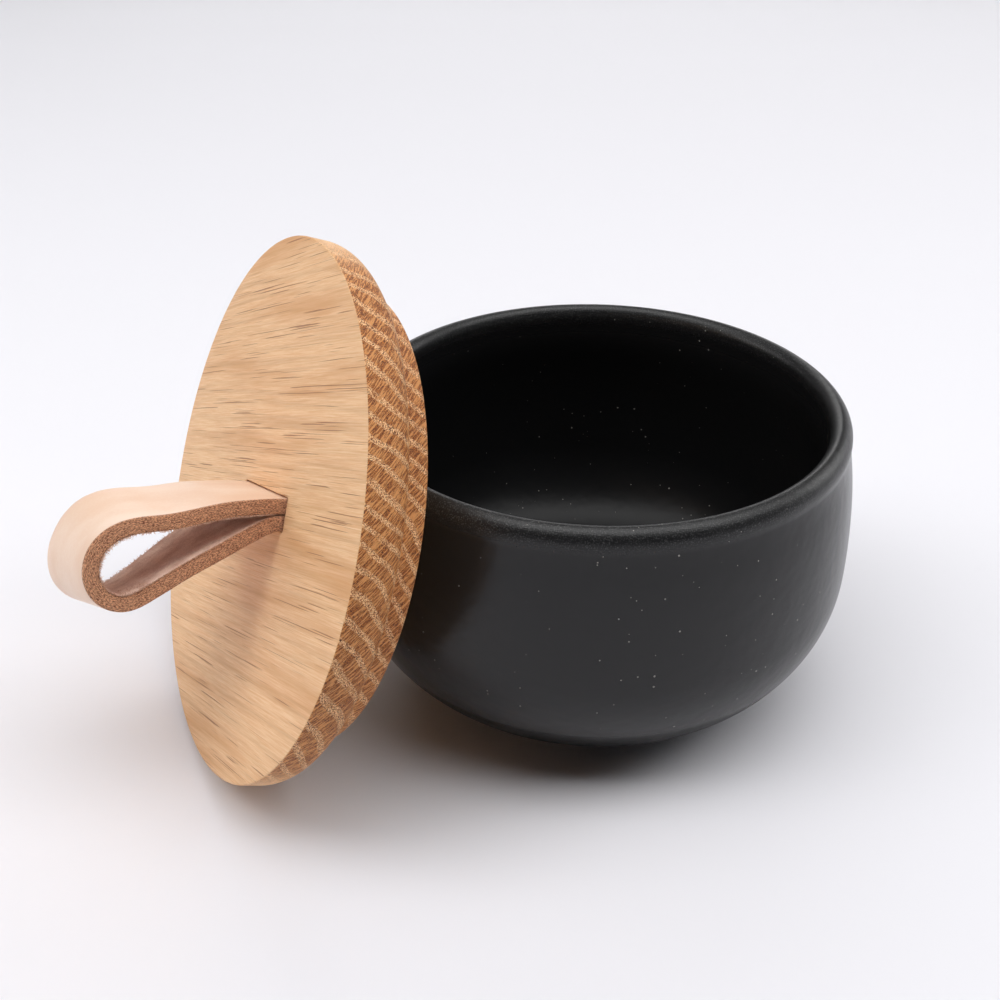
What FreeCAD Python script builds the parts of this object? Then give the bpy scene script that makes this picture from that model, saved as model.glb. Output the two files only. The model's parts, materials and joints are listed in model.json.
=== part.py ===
import FreeCAD, Part
import math
import os

import Sketcher
from FreeCAD import Placement, Rotation, Vector

# A stoneware salt crock with a turned oak lid and a leather pull strap.
# The crock stands on its foot ring at the origin, +Z up, with its axis on Z.
# The lid is taken off and leans on the crock: its lower edge rests on the
# table and the end face of its spigot rests on the crock's lip.
# Lengths are millimetres and angles are degrees.

SIZES = {
    # Crock, thrown and glazed stoneware
    "crock_height": 70.0,
    "rim_radius": 56.2,
    "rim_width": 4.9,
    "lip_outer_round": 4.0,
    "lip_crest_round": 1.0,
    "lip_inner_round": 3.1,
    "lip_crest_inset": 2.0,
    "collar_height": 8.4,
    "shoulder_drop": 1.0,
    "shoulder_step": 0.7,
    "shoulder_round": 1.5,
    "mouth_depth": 10.0,
    "belly_swell": 2.5,
    "belly_height": 37.1,
    "side_radius": 140.0,
    "knuckle_drop": 2.5,
    "underside_level": 0.8,
    "wall_thickness": 4.6,
    "floor_thickness": 5.7,
    "inner_corner_drop": 5.6,
    "mouth_blend_radius": 12.0,
    "foot_inset": 24.7,
    "foot_width": 4.5,
    "foot_recess": 1.8,
    "foot_round": 0.8,
    # Lid, one turned piece of oak: a flange on the lip, a spigot in the mouth
    "flange_overhang": 2.0,
    "flange_thickness": 10.3,
    "flange_round": 6.0,
    "flange_arris": 0.4,
    "spigot_clearance": 1.7,
    "spigot_depth": 6.2,
    "spigot_root_round": 1.5,
    "spigot_arris": 0.6,
    # Strap, one length of vegetable tanned leather folded in two
    "leather_thickness": 3.2,
    "strap_width": 26.0,
    "strap_bend_radius": 40.0,
    "loop_reach": 28.3,
    "loop_drop": 13.9,
    "loop_radius": 10.3,
    "strap_gap": 0.3,
    "tail_gap": 0.1,
    "tail_recess": 1.5,
    # Slot that the strap passes through, and how far it sits off the centre
    "slot_side_clearance": 0.3,
    "slot_end_clearance": 0.4,
    "slot_corner": 0.6,
    "slot_arris": 0.3,
    "slot_off_along": 6.3,
    "slot_off_across": 1.4,
    # Peg that crosses both tails under the lid, in a groove of its own
    "peg_diameter": 4.0,
    "peg_length": 22.0,
    "peg_clearance": 0.15,
    "peg_arris": 0.4,
    "groove_depth": 8.0,
    # How the lid leans on the crock
    "lean_rise_degrees": 20.9,
    "lean_heading_degrees": 203.0,
    "lean_sideways": -7.0,
    "lean_gap": 0.3,
    "strap_turn_degrees": 20.1,
    # How far a cut runs past the surface that it opens
    "cut_overrun": 2.0,
}

# Point positions on a sketch's curves, and its two axes
START, END, CENTRE = range(1, 4)
Y_AXIS, X_AXIS = range(-2, 0)

doc = FreeCAD.newDocument("salt_crock")


# Sheet of sizes

def make_sheet():
    """Write every size once, with its name in column A and its value in column B."""
    table = doc.addObject("Spreadsheet::Sheet", "sizes")
    for row, (name, value) in enumerate(SIZES.items(), start=1):
        table.set(f"A{row}", name)
        table.set(f"B{row}", str(value))
        table.setAlias(f"B{row}", name)
    doc.recompute()
    return table


sheet = make_sheet()


def size(name):
    """The value that the sheet holds for one size."""
    return float(sheet.get(name))


def mouth_radius():
    return size("rim_radius") - size("rim_width")


def belly_radius():
    return size("rim_radius") + size("belly_swell")


def foot_radius():
    return belly_radius() - size("foot_inset")


def flange_radius():
    return size("rim_radius") + size("flange_overhang")


def shoulder_top():
    """Radius and height of the shoulder, where the side ends under the collar."""
    height = size("crock_height") - size("collar_height") - size("shoulder_drop")
    return (size("rim_radius") + size("shoulder_step"), height)


def floor_level():
    return size("foot_recess") + size("floor_thickness")


def knuckle_height():
    """Height of the centre of the round under the belly."""
    return size("belly_height") - size("knuckle_drop")


def knuckle_radius():
    return knuckle_height() - size("underside_level")


def inner_corner_height():
    """Height of the centre of the round between the floor and the inner side."""
    return size("belly_height") - size("inner_corner_drop")


def inner_corner_radius():
    return inner_corner_height() - floor_level()


def spigot_radius():
    return mouth_radius() - size("spigot_clearance")


def lid_thickness():
    return size("flange_thickness") + size("spigot_depth")


def peg_level():
    """Depth of the peg's axis under the lid's top face."""
    groove_top = lid_thickness() - size("groove_depth")
    return groove_top + size("peg_diameter") / 2 + size("peg_clearance")


# Sketches and bodies

def new_body(label):
    body = doc.addObject("PartDesign::Body", label)
    body.Label = label
    return body


def origin_feature(body, role):
    for feature in body.Origin.OriginFeatures:
        if feature.Role == role:
            return feature
    raise ValueError(f"{body.Label} has no {role}")


def new_sketch(body, name, role, offset=None):
    """A sketch on one of the body's own planes, moved along its normal by an expression."""
    sketch = body.newObject("Sketcher::SketchObject", name)
    sketch.AttachmentSupport = [(origin_feature(body, role), "")]
    sketch.MapMode = "FlatFace"
    if offset:
        sketch.setExpression("AttachmentOffset.Base.z", offset)
    return sketch


def at_angle(centre, radius, degrees):
    """The point on a circle at an angle from the sketch's X axis."""
    turn = math.radians(degrees)
    return (centre[0] + radius * math.cos(turn), centre[1] + radius * math.sin(turn))


def add_line(sketch, start, end):
    return sketch.addGeometry(Part.LineSegment(Vector(*start, 0), Vector(*end, 0)))


def add_arc(sketch, centre, radius, from_degrees, to_degrees):
    """An arc that runs counter-clockwise between two angles."""
    circle = Part.Circle(Vector(*centre, 0), Vector(0, 0, 1), radius)
    arc = Part.ArcOfCircle(circle, math.radians(from_degrees), math.radians(to_degrees))
    return sketch.addGeometry(arc)


def bind(sketch, kind, places, expression, value):
    """Add a dimension and bind it to an expression over the sheet."""
    index = sketch.addConstraint(Sketcher.Constraint(kind, *places, value))
    sketch.setExpression(f"Constraints[{index}]", expression)


def pin(sketch, curve, point, across=None, up=None):
    """Fix a point's coordinates, each given as a pair: an expression and its value."""
    if across:
        bind(sketch, "DistanceX", (curve, point), *across)
    if up:
        bind(sketch, "DistanceY", (curve, point), *up)


def on_axis(sketch, curve, point, axis):
    sketch.addConstraint(Sketcher.Constraint("PointOnObject", curve, point, axis))


def join(sketch, first, second):
    """The end of one curve meets the start of the next."""
    sketch.addConstraint(Sketcher.Constraint("Coincident", first, END, second, START))


def blend(sketch, first, second):
    """The end of one curve runs on into the start of the next with no corner."""
    sketch.addConstraint(Sketcher.Constraint("Tangent", first, END, second, START))


def level(sketch, *curves):
    for curve in curves:
        sketch.addConstraint(Sketcher.Constraint("Horizontal", curve))


def upright(sketch, *curves):
    for curve in curves:
        sketch.addConstraint(Sketcher.Constraint("Vertical", curve))


def named(*names):
    """An expression that adds and subtracts sizes, with the sum that it gives."""
    text = ""
    total = 0.0
    for name in names:
        sign = "-" if name.startswith("-") else "+"
        plain = name.lstrip("-")
        text += f" {sign} sizes.{plain}"
        total += -size(plain) if sign == "-" else size(plain)
    return (text.lstrip(" +"), total)


def turn_about_z(body, kind, name, sketch):
    """Revolve a sketch, or cut by revolving it, a full turn about the Z axis."""
    feature = body.newObject(kind, name)
    feature.Profile = sketch
    feature.ReferenceAxis = (sketch, ["V_Axis"])
    feature.Angle = 360
    doc.recompute()
    return feature


def edges_at(shape, test):
    """Names of the edges whose every sampled point passes a test."""
    chosen = []
    for number, edge in enumerate(shape.Edges, start=1):
        points = edge.discretize(5)
        if all(test(point) for point in points):
            chosen.append(f"Edge{number}")
    return chosen


def ease_edges(body, kind, name, base, edges, prop, expression):
    """Fillet or chamfer some edges of a feature, with the size bound to the sheet."""
    feature = body.newObject(kind, name)
    feature.Base = (base, edges)
    feature.setExpression(prop, expression)
    doc.recompute()
    return feature


def near(first, second):
    """Two lengths agree to a small share of the rim's width."""
    return abs(first - second) < size("rim_width") * 1e-4


def radius_of(point):
    return math.hypot(point.x, point.y)


# Crock

def lip_rounds():
    """Centres of the lip's rounds on its outer side, its crest and its inner side.

    Each touches the next, the outer one also the collar and the inner one the
    mouth, so the place of the crest gives the heights of the other two.
    """
    outer = size("lip_outer_round")
    crest = size("lip_crest_round")
    inner = size("lip_inner_round")
    top = (mouth_radius() + size("lip_crest_inset"), size("crock_height") - crest)
    out_across = size("rim_radius") - outer
    in_across = mouth_radius() + inner
    out_up = top[1] - math.sqrt((outer - crest) ** 2 - (top[0] - out_across) ** 2)
    in_up = top[1] - math.sqrt((inner - crest) ** 2 - (top[0] - in_across) ** 2)
    return (out_across, out_up), top, (in_across, in_up)


def heading(start, end):
    """Angle of the line from one point to another, in degrees."""
    return math.degrees(math.atan2(end[1] - start[1], end[0] - start[0]))


def draw_crock_outside(body):
    """Section of the solid crock: foot ring, knuckle, side arcs, collar and lip."""
    sketch = new_sketch(body, "crock_outside", "XZ_Plane")
    foot_out = foot_radius()
    foot_in = foot_out - size("foot_width")
    belly = (belly_radius(), size("belly_height"))

    side_centre = (belly[0] - size("side_radius"), belly[1])
    reach = size("side_radius") - knuckle_radius()
    fall = math.degrees(math.asin((belly[1] - knuckle_height()) / reach))
    knuckle_centre = at_angle(side_centre, reach, -fall)
    foot_turn = math.degrees(math.acos((foot_out - knuckle_centre[0]) / knuckle_radius()))
    foot_top = at_angle(knuckle_centre, knuckle_radius(), -foot_turn)

    upper_centre, upper_radius = side_above_belly()
    upper_turn = heading(upper_centre, shoulder_top())
    collar_foot = (size("rim_radius"), size("crock_height") - size("collar_height"))
    outer, crest, inner = lip_rounds()
    outer_turn = heading(outer, crest)
    inner_turn = heading(inner, crest)

    recess = add_line(sketch, (0, size("foot_recess")), (foot_in, size("foot_recess")))
    foot_inside = add_line(sketch, (foot_in, size("foot_recess")), (foot_in, 0))
    foot = add_line(sketch, (foot_in, 0), (foot_out, 0))
    foot_outside = add_line(sketch, (foot_out, 0), foot_top)
    knuckle = add_arc(sketch, knuckle_centre, knuckle_radius(), -foot_turn, -fall)
    lower_side = add_arc(sketch, side_centre, size("side_radius"), -fall, 0)
    upper_side = add_arc(sketch, upper_centre, upper_radius, 0, upper_turn)
    shoulder = add_line(sketch, shoulder_top(), collar_foot)
    collar = add_line(sketch, collar_foot, (size("rim_radius"), outer[1]))
    lip_outside = add_arc(sketch, outer, size("lip_outer_round"), 0, outer_turn)
    lip_crest = add_arc(sketch, crest, size("lip_crest_round"), outer_turn, inner_turn)
    lip_inside = add_arc(sketch, inner, size("lip_inner_round"), inner_turn, 180)
    core = add_line(sketch, (mouth_radius(), inner[1]), (0, inner[1]))
    axis = add_line(sketch, (0, inner[1]), (0, size("foot_recess")))

    level(sketch, recess, foot, core)
    upright(sketch, foot_inside, foot_outside, collar, axis)
    join(sketch, recess, foot_inside)
    join(sketch, foot_inside, foot)
    join(sketch, foot, foot_outside)
    join(sketch, foot_outside, knuckle)
    blend(sketch, knuckle, lower_side)
    join(sketch, lower_side, upper_side)
    join(sketch, upper_side, shoulder)
    join(sketch, shoulder, collar)
    blend(sketch, collar, lip_outside)
    blend(sketch, lip_outside, lip_crest)
    blend(sketch, lip_crest, lip_inside)
    join(sketch, lip_inside, core)
    join(sketch, core, axis)
    join(sketch, axis, recess)
    on_axis(sketch, recess, START, Y_AXIS)
    on_axis(sketch, foot, START, X_AXIS)
    pin(sketch, recess, END, named("rim_radius", "belly_swell", "-foot_inset", "-foot_width"),
        named("foot_recess"))
    pin(sketch, foot, END, named("rim_radius", "belly_swell", "-foot_inset"))
    pin(sketch, knuckle, CENTRE, up=named("belly_height", "-knuckle_drop"))
    bind(sketch, "Radius", (knuckle,), *named("belly_height", "-knuckle_drop", "-underside_level"))
    pin(sketch, lower_side, CENTRE, up=named("belly_height"))
    bind(sketch, "Radius", (lower_side,), *named("side_radius"))
    pin(sketch, lower_side, END, named("rim_radius", "belly_swell"), named("belly_height"))
    pin(sketch, upper_side, CENTRE, up=named("belly_height"))
    pin(sketch, shoulder, START, named("rim_radius", "shoulder_step"),
        named("crock_height", "-collar_height", "-shoulder_drop"))
    pin(sketch, collar, START, named("rim_radius"), named("crock_height", "-collar_height"))
    bind(sketch, "Radius", (lip_outside,), *named("lip_outer_round"))
    bind(sketch, "Radius", (lip_crest,), *named("lip_crest_round"))
    bind(sketch, "Radius", (lip_inside,), *named("lip_inner_round"))
    pin(sketch, lip_crest, CENTRE, named("rim_radius", "-rim_width", "lip_crest_inset"),
        named("crock_height", "-lip_crest_round"))
    pin(sketch, lip_inside, END, named("rim_radius", "-rim_width"))
    sketch.addConstraint(Sketcher.Constraint("Horizontal", lip_inside, CENTRE, lip_inside, END))
    return sketch


def draw_crock_hollow(body):
    """Section of the hollow: floor, rounded corner, side arcs and a straight mouth."""
    sketch = new_sketch(body, "crock_hollow", "XZ_Plane")
    floor = floor_level()
    belly = (belly_radius() - size("wall_thickness"), size("belly_height"))
    mouth = (mouth_radius(), size("crock_height") - size("mouth_depth"))
    opening = size("crock_height") + size("cut_overrun")

    side_radius = size("side_radius") - size("wall_thickness")
    side_centre = (belly[0] - side_radius, belly[1])
    reach = side_radius - inner_corner_radius()
    fall = math.degrees(math.asin((belly[1] - inner_corner_height()) / reach))
    corner_centre = at_angle(side_centre, reach, -fall)

    rise = mouth[1] - belly[1]
    inset = belly[0] - mouth[0]
    upper_radius = (rise ** 2 + inset ** 2) / (2 * inset)
    upper_centre = (belly[0] - upper_radius, belly[1])
    upper_turn = math.degrees(math.asin(rise / upper_radius))

    bottom = add_line(sketch, (0, floor), (corner_centre[0], floor))
    corner = add_arc(sketch, corner_centre, inner_corner_radius(), -90, -fall)
    lower_side = add_arc(sketch, side_centre, side_radius, -fall, 0)
    upper_side = add_arc(sketch, upper_centre, upper_radius, 0, upper_turn)
    throat = add_line(sketch, mouth, (mouth[0], opening))
    lid_side = add_line(sketch, (mouth[0], opening), (0, opening))
    axis = add_line(sketch, (0, opening), (0, floor))

    level(sketch, bottom, lid_side)
    upright(sketch, throat, axis)
    blend(sketch, bottom, corner)
    blend(sketch, corner, lower_side)
    join(sketch, lower_side, upper_side)
    join(sketch, upper_side, throat)
    join(sketch, throat, lid_side)
    join(sketch, lid_side, axis)
    join(sketch, axis, bottom)
    on_axis(sketch, bottom, START, Y_AXIS)
    pin(sketch, bottom, START, up=named("foot_recess", "floor_thickness"))
    bind(sketch, "Radius", (corner,), *named("belly_height", "-inner_corner_drop",
                                             "-foot_recess", "-floor_thickness"))
    pin(sketch, lower_side, CENTRE, up=named("belly_height"))
    bind(sketch, "Radius", (lower_side,), *named("side_radius", "-wall_thickness"))
    pin(sketch, lower_side, END, named("rim_radius", "belly_swell", "-wall_thickness"),
        named("belly_height"))
    pin(sketch, upper_side, CENTRE, up=named("belly_height"))
    pin(sketch, upper_side, END, named("rim_radius", "-rim_width"),
        named("crock_height", "-mouth_depth"))
    pin(sketch, throat, END, up=named("crock_height", "cut_overrun"))
    return sketch


def make_crock():
    """Stoneware crock: a turned body, hollowed, with soft shoulder, throat and foot."""
    body = new_body("crock")
    solid = turn_about_z(body, "PartDesign::Revolution", "crock_turned", draw_crock_outside(body))
    hollow = turn_about_z(body, "PartDesign::Groove", "crock_hollowed", draw_crock_hollow(body))
    if hollow.Shape.Volume >= solid.Shape.Volume:
        raise RuntimeError("the hollow cut nothing from the crock")

    throat_end = (mouth_radius(), size("crock_height") - size("mouth_depth"))
    collar_foot = (size("rim_radius"), size("crock_height") - size("collar_height"))

    def on_circle(*circles):
        return lambda point: any(near(radius_of(point), radius) and near(point.z, height)
                                 for radius, height in circles)

    throat = ease_edges(body, "PartDesign::Fillet", "throat_blend", hollow,
                        edges_at(hollow.Shape, on_circle(throat_end)),
                        "Radius", "sizes.mouth_blend_radius")
    shoulder = ease_edges(body, "PartDesign::Fillet", "shoulder_eased", throat,
                          edges_at(throat.Shape, on_circle(shoulder_top(), collar_foot)),
                          "Radius", "sizes.shoulder_round")
    foot_edges = edges_at(shoulder.Shape, lambda point: near(point.z, 0))
    foot = ease_edges(body, "PartDesign::Fillet", "foot_eased", shoulder, foot_edges,
                      "Radius", "sizes.foot_round")
    body.Tip = foot
    return body


# Lid

def draw_lid_section(body):
    """Half section of the lid: flat top, crisp arris, round lower edge, spigot."""
    sketch = new_sketch(body, "lid_section", "XZ_Plane")
    outer = flange_radius()
    under = -size("flange_thickness")
    end = -lid_thickness()
    bead = size("flange_round")
    arris = size("flange_arris")
    foot = size("spigot_arris")
    spigot = spigot_radius()

    top = add_line(sketch, (0, 0), (outer - arris, 0))
    top_arris = add_line(sketch, (outer - arris, 0), (outer, -arris))
    side = add_line(sketch, (outer, -arris), (outer, under + bead))
    # The arc runs counter-clockwise, so it starts at the underside
    lower_edge = add_arc(sketch, (outer - bead, under + bead), bead, -90, 0)
    ledge = add_line(sketch, (outer - bead, under), (spigot, under))
    spigot_side = add_line(sketch, (spigot, under), (spigot, end + foot))
    spigot_arris = add_line(sketch, (spigot, end + foot), (spigot - foot, end))
    spigot_end = add_line(sketch, (spigot - foot, end), (0, end))
    axis = add_line(sketch, (0, end), (0, 0))

    level(sketch, top, ledge, spigot_end)
    upright(sketch, side, spigot_side, axis)
    join(sketch, top, top_arris)
    join(sketch, top_arris, side)
    sketch.addConstraint(Sketcher.Constraint("Tangent", side, END, lower_edge, END))
    sketch.addConstraint(Sketcher.Constraint("Tangent", lower_edge, START, ledge, START))
    join(sketch, ledge, spigot_side)
    join(sketch, spigot_side, spigot_arris)
    join(sketch, spigot_arris, spigot_end)
    join(sketch, spigot_end, axis)
    join(sketch, axis, top)
    sketch.addConstraint(Sketcher.Constraint("Coincident", top, START, X_AXIS, START))
    pin(sketch, top, END, named("rim_radius", "flange_overhang", "-flange_arris"))
    pin(sketch, side, START, named("rim_radius", "flange_overhang"),
        negative(named("flange_arris")))
    bind(sketch, "Radius", (lower_edge,), *named("flange_round"))
    pin(sketch, ledge, END, named("rim_radius", "-rim_width", "-spigot_clearance"),
        negative(named("flange_thickness")))
    pin(sketch, spigot_side, END,
        up=negative(named("flange_thickness", "spigot_depth", "-spigot_arris")))
    pin(sketch, spigot_end, START,
        named("rim_radius", "-rim_width", "-spigot_clearance", "-spigot_arris"),
        negative(named("flange_thickness", "spigot_depth")))
    return sketch


def negative(pair):
    """The same expression and value with their sign turned."""
    return (f"-({pair[0]})", -pair[1])


def draw_rectangle(sketch, centre, spans):
    """A rectangle about a centre, each span and coordinate an expression and its value."""
    half_x = (f"({spans[0][0]}) / 2", spans[0][1] / 2)
    half_y = (f"({spans[1][0]}) / 2", spans[1][1] / 2)
    low_x = (f"{centre[0][0]} - {half_x[0]}", centre[0][1] - half_x[1])
    high_x = (f"{centre[0][0]} + {half_x[0]}", centre[0][1] + half_x[1])
    low_y = (f"{centre[1][0]} - {half_y[0]}", centre[1][1] - half_y[1])
    high_y = (f"{centre[1][0]} + {half_y[0]}", centre[1][1] + half_y[1])
    corners = [(low_x[1], low_y[1]), (high_x[1], low_y[1]),
               (high_x[1], high_y[1]), (low_x[1], high_y[1])]
    sides = []
    for number in range(4):
        sides.append(add_line(sketch, corners[number], corners[(number + 1) % 4]))
    for number in range(4):
        join(sketch, sides[number], sides[(number + 1) % 4])
    level(sketch, sides[0], sides[2])
    upright(sketch, sides[1], sides[3])
    pin(sketch, sides[0], START, low_x, low_y)
    pin(sketch, sides[2], START, high_x, high_y)
    return sketch


def slot_centre():
    return (named("slot_off_along"), named("slot_off_across"))


def doubled(name):
    """An expression and value of twice a size."""
    return (f"2 * sizes.{name}", 2 * size(name))


def total(*pairs):
    """The sum of expressions, each with its value."""
    return (" + ".join(pair[0] for pair in pairs), sum(pair[1] for pair in pairs))


def slot_spans():
    """Length and width of the slot: the folded strap with clearance all round."""
    length = total(named("strap_width"), doubled("slot_end_clearance"))
    width = total(doubled("leather_thickness"), named("tail_gap"),
                  doubled("slot_side_clearance"))
    return (length, width)


def cut_pocket(body, name, sketch, before, through=False, depth=None, upward=False):
    """Pocket a sketch, straight through or to a depth, and check that it cuts."""
    pocket = body.newObject("PartDesign::Pocket", name)
    pocket.Profile = sketch
    if through:
        pocket.Type = "ThroughAll"
        pocket.Midplane = True
    else:
        pocket.setExpression("Length", depth)
        pocket.Reversed = upward
    doc.recompute()
    if pocket.Shape.Volume >= before.Shape.Volume:
        raise RuntimeError(f"{name} cut nothing")
    return pocket


def make_lid(place):
    """Oak lid: turned flange and spigot, a slot for the strap, a groove for the peg."""
    body = new_body("lid")
    blank = turn_about_z(body, "PartDesign::Revolution", "lid_turned", draw_lid_section(body))

    def on_spigot_root(point):
        return near(point.z, -size("flange_thickness")) and near(radius_of(point), spigot_radius())

    turned = ease_edges(body, "PartDesign::Fillet", "spigot_root", blank,
                        edges_at(blank.Shape, on_spigot_root),
                        "Radius", "sizes.spigot_root_round")

    slot_sketch = new_sketch(body, "strap_slot_outline", "XY_Plane")
    draw_rectangle(slot_sketch, slot_centre(), slot_spans())
    slot = cut_pocket(body, "strap_slot", slot_sketch, turned, through=True)

    half_length = slot_spans()[0][1] / 2
    half_width = slot_spans()[1][1] / 2

    def on_slot_corner(point):
        far_along = near(abs(point.x - size("slot_off_along")), half_length)
        far_across = near(abs(point.y - size("slot_off_across")), half_width)
        return far_along and far_across

    corners = ease_edges(body, "PartDesign::Fillet", "slot_corners", slot,
                         edges_at(slot.Shape, on_slot_corner), "Radius", "sizes.slot_corner")

    def on_slot_mouth(point):
        inside_along = abs(point.x - size("slot_off_along")) < size("strap_width")
        inside_across = abs(point.y - size("slot_off_across")) < size("strap_width")
        return near(point.z, 0) and inside_along and inside_across

    mouth = ease_edges(body, "PartDesign::Chamfer", "slot_mouth", corners,
                       edges_at(corners.Shape, on_slot_mouth), "Size", "sizes.slot_arris")

    groove_sketch = new_sketch(body, "peg_groove_outline", "XY_Plane",
                               "-(sizes.flange_thickness + sizes.spigot_depth)")
    spans = (total(named("peg_diameter"), doubled("peg_clearance")),
             total(named("peg_length"), doubled("peg_clearance")))
    draw_rectangle(groove_sketch, slot_centre(), spans)
    doc.recompute()
    groove = cut_pocket(body, "peg_groove", groove_sketch, mouth,
                        depth="sizes.groove_depth", upward=True)
    body.Tip = groove
    body.Placement = place
    return body


# Strap

def loop_outline():
    """Centres and turns of the loop's arcs, in the plane across the strap."""
    leather = size("leather_thickness")
    pivot = (size("slot_off_across"), size("strap_gap") + leather)
    bend = (pivot[0] + leather - size("strap_bend_radius"), pivot[1])
    tip = (pivot[0] - size("loop_drop"), size("loop_reach"))
    upper = tangent_turn(bend, size("strap_bend_radius"), tip, size("loop_radius"), -1)
    lower = tangent_turn(tip, size("loop_radius"), pivot, leather, -1)
    return pivot, bend, tip, upper, lower + 360


def tangent_turn(first, first_radius, second, second_radius, side):
    """Angle of the shared normal of the line that touches two circles on one side."""
    along = second[0] - first[0]
    up = second[1] - first[1]
    span = math.hypot(along, up)
    lean = math.degrees(math.acos((first_radius - second_radius) / span))
    return math.degrees(math.atan2(up, along)) + side * lean


def draw_loop(body):
    """Edge view of the folded leather: a drooping teardrop, open in the middle."""
    start = "sizes.slot_off_along - sizes.strap_width / 2"
    sketch = new_sketch(body, "loop_edge", "YZ_Plane", start)
    pivot, bend, tip, upper, lower = loop_outline()
    leather = size("leather_thickness")
    bend_radius = size("strap_bend_radius")
    tip_radius = size("loop_radius")

    # Outer face: upper bend, upper leg, tip, lower leg, round base at the slot
    curves = []
    curves.append(add_arc(sketch, bend, bend_radius, 0, upper))
    curves.append(add_line(sketch, at_angle(bend, bend_radius, upper),
                           at_angle(tip, tip_radius, upper)))
    curves.append(add_arc(sketch, tip, tip_radius, upper, lower))
    curves.append(add_line(sketch, at_angle(tip, tip_radius, lower),
                           at_angle(pivot, leather, lower)))
    curves.append(add_arc(sketch, pivot, leather, lower, 360))
    for number in range(len(curves)):
        blend(sketch, curves[number], curves[(number + 1) % len(curves)])
    outer_bend, _, outer_tip, _, base = curves
    pin(sketch, base, CENTRE, named("slot_off_across"), named("strap_gap", "leather_thickness"))
    bind(sketch, "Radius", (base,), *named("leather_thickness"))
    pin(sketch, outer_bend, CENTRE, up=named("strap_gap", "leather_thickness"))
    bind(sketch, "Radius", (outer_bend,), *named("strap_bend_radius"))
    pin(sketch, outer_tip, CENTRE, named("slot_off_across", "-loop_drop"), named("loop_reach"))
    bind(sketch, "Radius", (outer_tip,), *named("loop_radius"))

    # Inner face: the same bends less the leather, closing to a point at the slot
    inner_bend = add_arc(sketch, bend, bend_radius - leather, 0, upper)
    inner_upper = add_line(sketch, at_angle(bend, bend_radius - leather, upper),
                           at_angle(tip, tip_radius - leather, upper))
    inner_tip = add_arc(sketch, tip, tip_radius - leather, upper, lower)
    inner_lower = add_line(sketch, at_angle(tip, tip_radius - leather, lower), pivot)
    blend(sketch, inner_bend, inner_upper)
    blend(sketch, inner_upper, inner_tip)
    blend(sketch, inner_tip, inner_lower)
    for curve, point, other, place in ((inner_bend, CENTRE, outer_bend, CENTRE),
                                       (inner_tip, CENTRE, outer_tip, CENTRE),
                                       (inner_bend, START, base, CENTRE),
                                       (inner_lower, END, base, CENTRE)):
        sketch.addConstraint(Sketcher.Constraint("Coincident", curve, point, other, place))
    bind(sketch, "Radius", (inner_tip,), *named("loop_radius", "-leather_thickness"))
    return sketch


def make_strap_loop(place):
    """The part of the strap that stands out of the lid, as wide as the strap."""
    body = new_body("strap_loop")
    outline = draw_loop(body)
    loop = body.newObject("PartDesign::Pad", "loop_leather")
    loop.Profile = outline
    loop.setExpression("Length", "sizes.strap_width")
    doc.recompute()
    body.Tip = loop
    body.Placement = place
    return body


def make_strap_tails(place):
    """The two ends of the strap, side by side in the slot, punched for the peg."""
    body = new_body("strap_tails")
    outline = new_sketch(body, "tail_outlines", "XY_Plane")
    middle = slot_centre()
    step = total(named("leather_thickness"), named("tail_gap"))
    for sign, turned in (("+", 1), ("-", -1)):
        layer = (f"{middle[1][0]} {sign} ({step[0]}) / 2", middle[1][1] + turned * step[1] / 2)
        draw_rectangle(outline, (middle[0], layer),
                       (named("strap_width"), named("leather_thickness")))
    tails = body.newObject("PartDesign::Pad", "tails")
    tails.Profile = outline
    tails.Reversed = True
    tails.setExpression("Length", "sizes.flange_thickness + sizes.spigot_depth - sizes.tail_recess")
    doc.recompute()

    punch = new_sketch(body, "punched_hole", "XZ_Plane")
    circle = punch.addGeometry(Part.Circle(Vector(size("slot_off_along"), -peg_level(), 0),
                                           Vector(0, 0, 1),
                                           size("peg_diameter") / 2 + size("peg_clearance")))
    pin(punch, circle, CENTRE, named("slot_off_along"), peg_height())
    bind(punch, "Radius", (circle,), "sizes.peg_diameter / 2 + sizes.peg_clearance",
         size("peg_diameter") / 2 + size("peg_clearance"))
    body.Tip = cut_pocket(body, "peg_holes", punch, tails, through=True)
    body.Placement = place
    return body


def peg_height():
    """Expression and value of the peg axis's height, below the lid's top face."""
    text = ("-(sizes.flange_thickness + sizes.spigot_depth - sizes.groove_depth"
            " + sizes.peg_diameter / 2 + sizes.peg_clearance)")
    return (text, -peg_level())


# Peg

def make_strap_peg(place):
    """Hardwood peg that lies across the strap and stops it pulling through."""
    body = new_body("strap_peg")
    outline = new_sketch(body, "peg_outline", "XZ_Plane", "-sizes.slot_off_across")
    circle = outline.addGeometry(Part.Circle(Vector(size("slot_off_along"), -peg_level(), 0),
                                             Vector(0, 0, 1), size("peg_diameter") / 2))
    pin(outline, circle, CENTRE, named("slot_off_along"), peg_height())
    bind(outline, "Diameter", (circle,), *named("peg_diameter"))
    peg = body.newObject("PartDesign::Pad", "peg_turned")
    peg.Profile = outline
    peg.Midplane = True
    peg.setExpression("Length", "sizes.peg_length")
    doc.recompute()
    ends = edges_at(peg.Shape, lambda point: near(abs(point.y - size("slot_off_across")),
                                                  size("peg_length") / 2))
    body.Tip = ease_edges(body, "PartDesign::Chamfer", "peg_ends", peg, ends,
                          "Size", "sizes.peg_arris")
    body.Placement = place
    return body


# Leaning lid

def side_above_belly():
    """Centre and radius of the arc from the belly up to the shoulder."""
    shoulder = shoulder_top()
    rise = shoulder[1] - size("belly_height")
    inset = belly_radius() - shoulder[0]
    radius = (rise ** 2 + inset ** 2) / (2 * inset)
    return (belly_radius() - radius, size("belly_height")), radius


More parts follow.
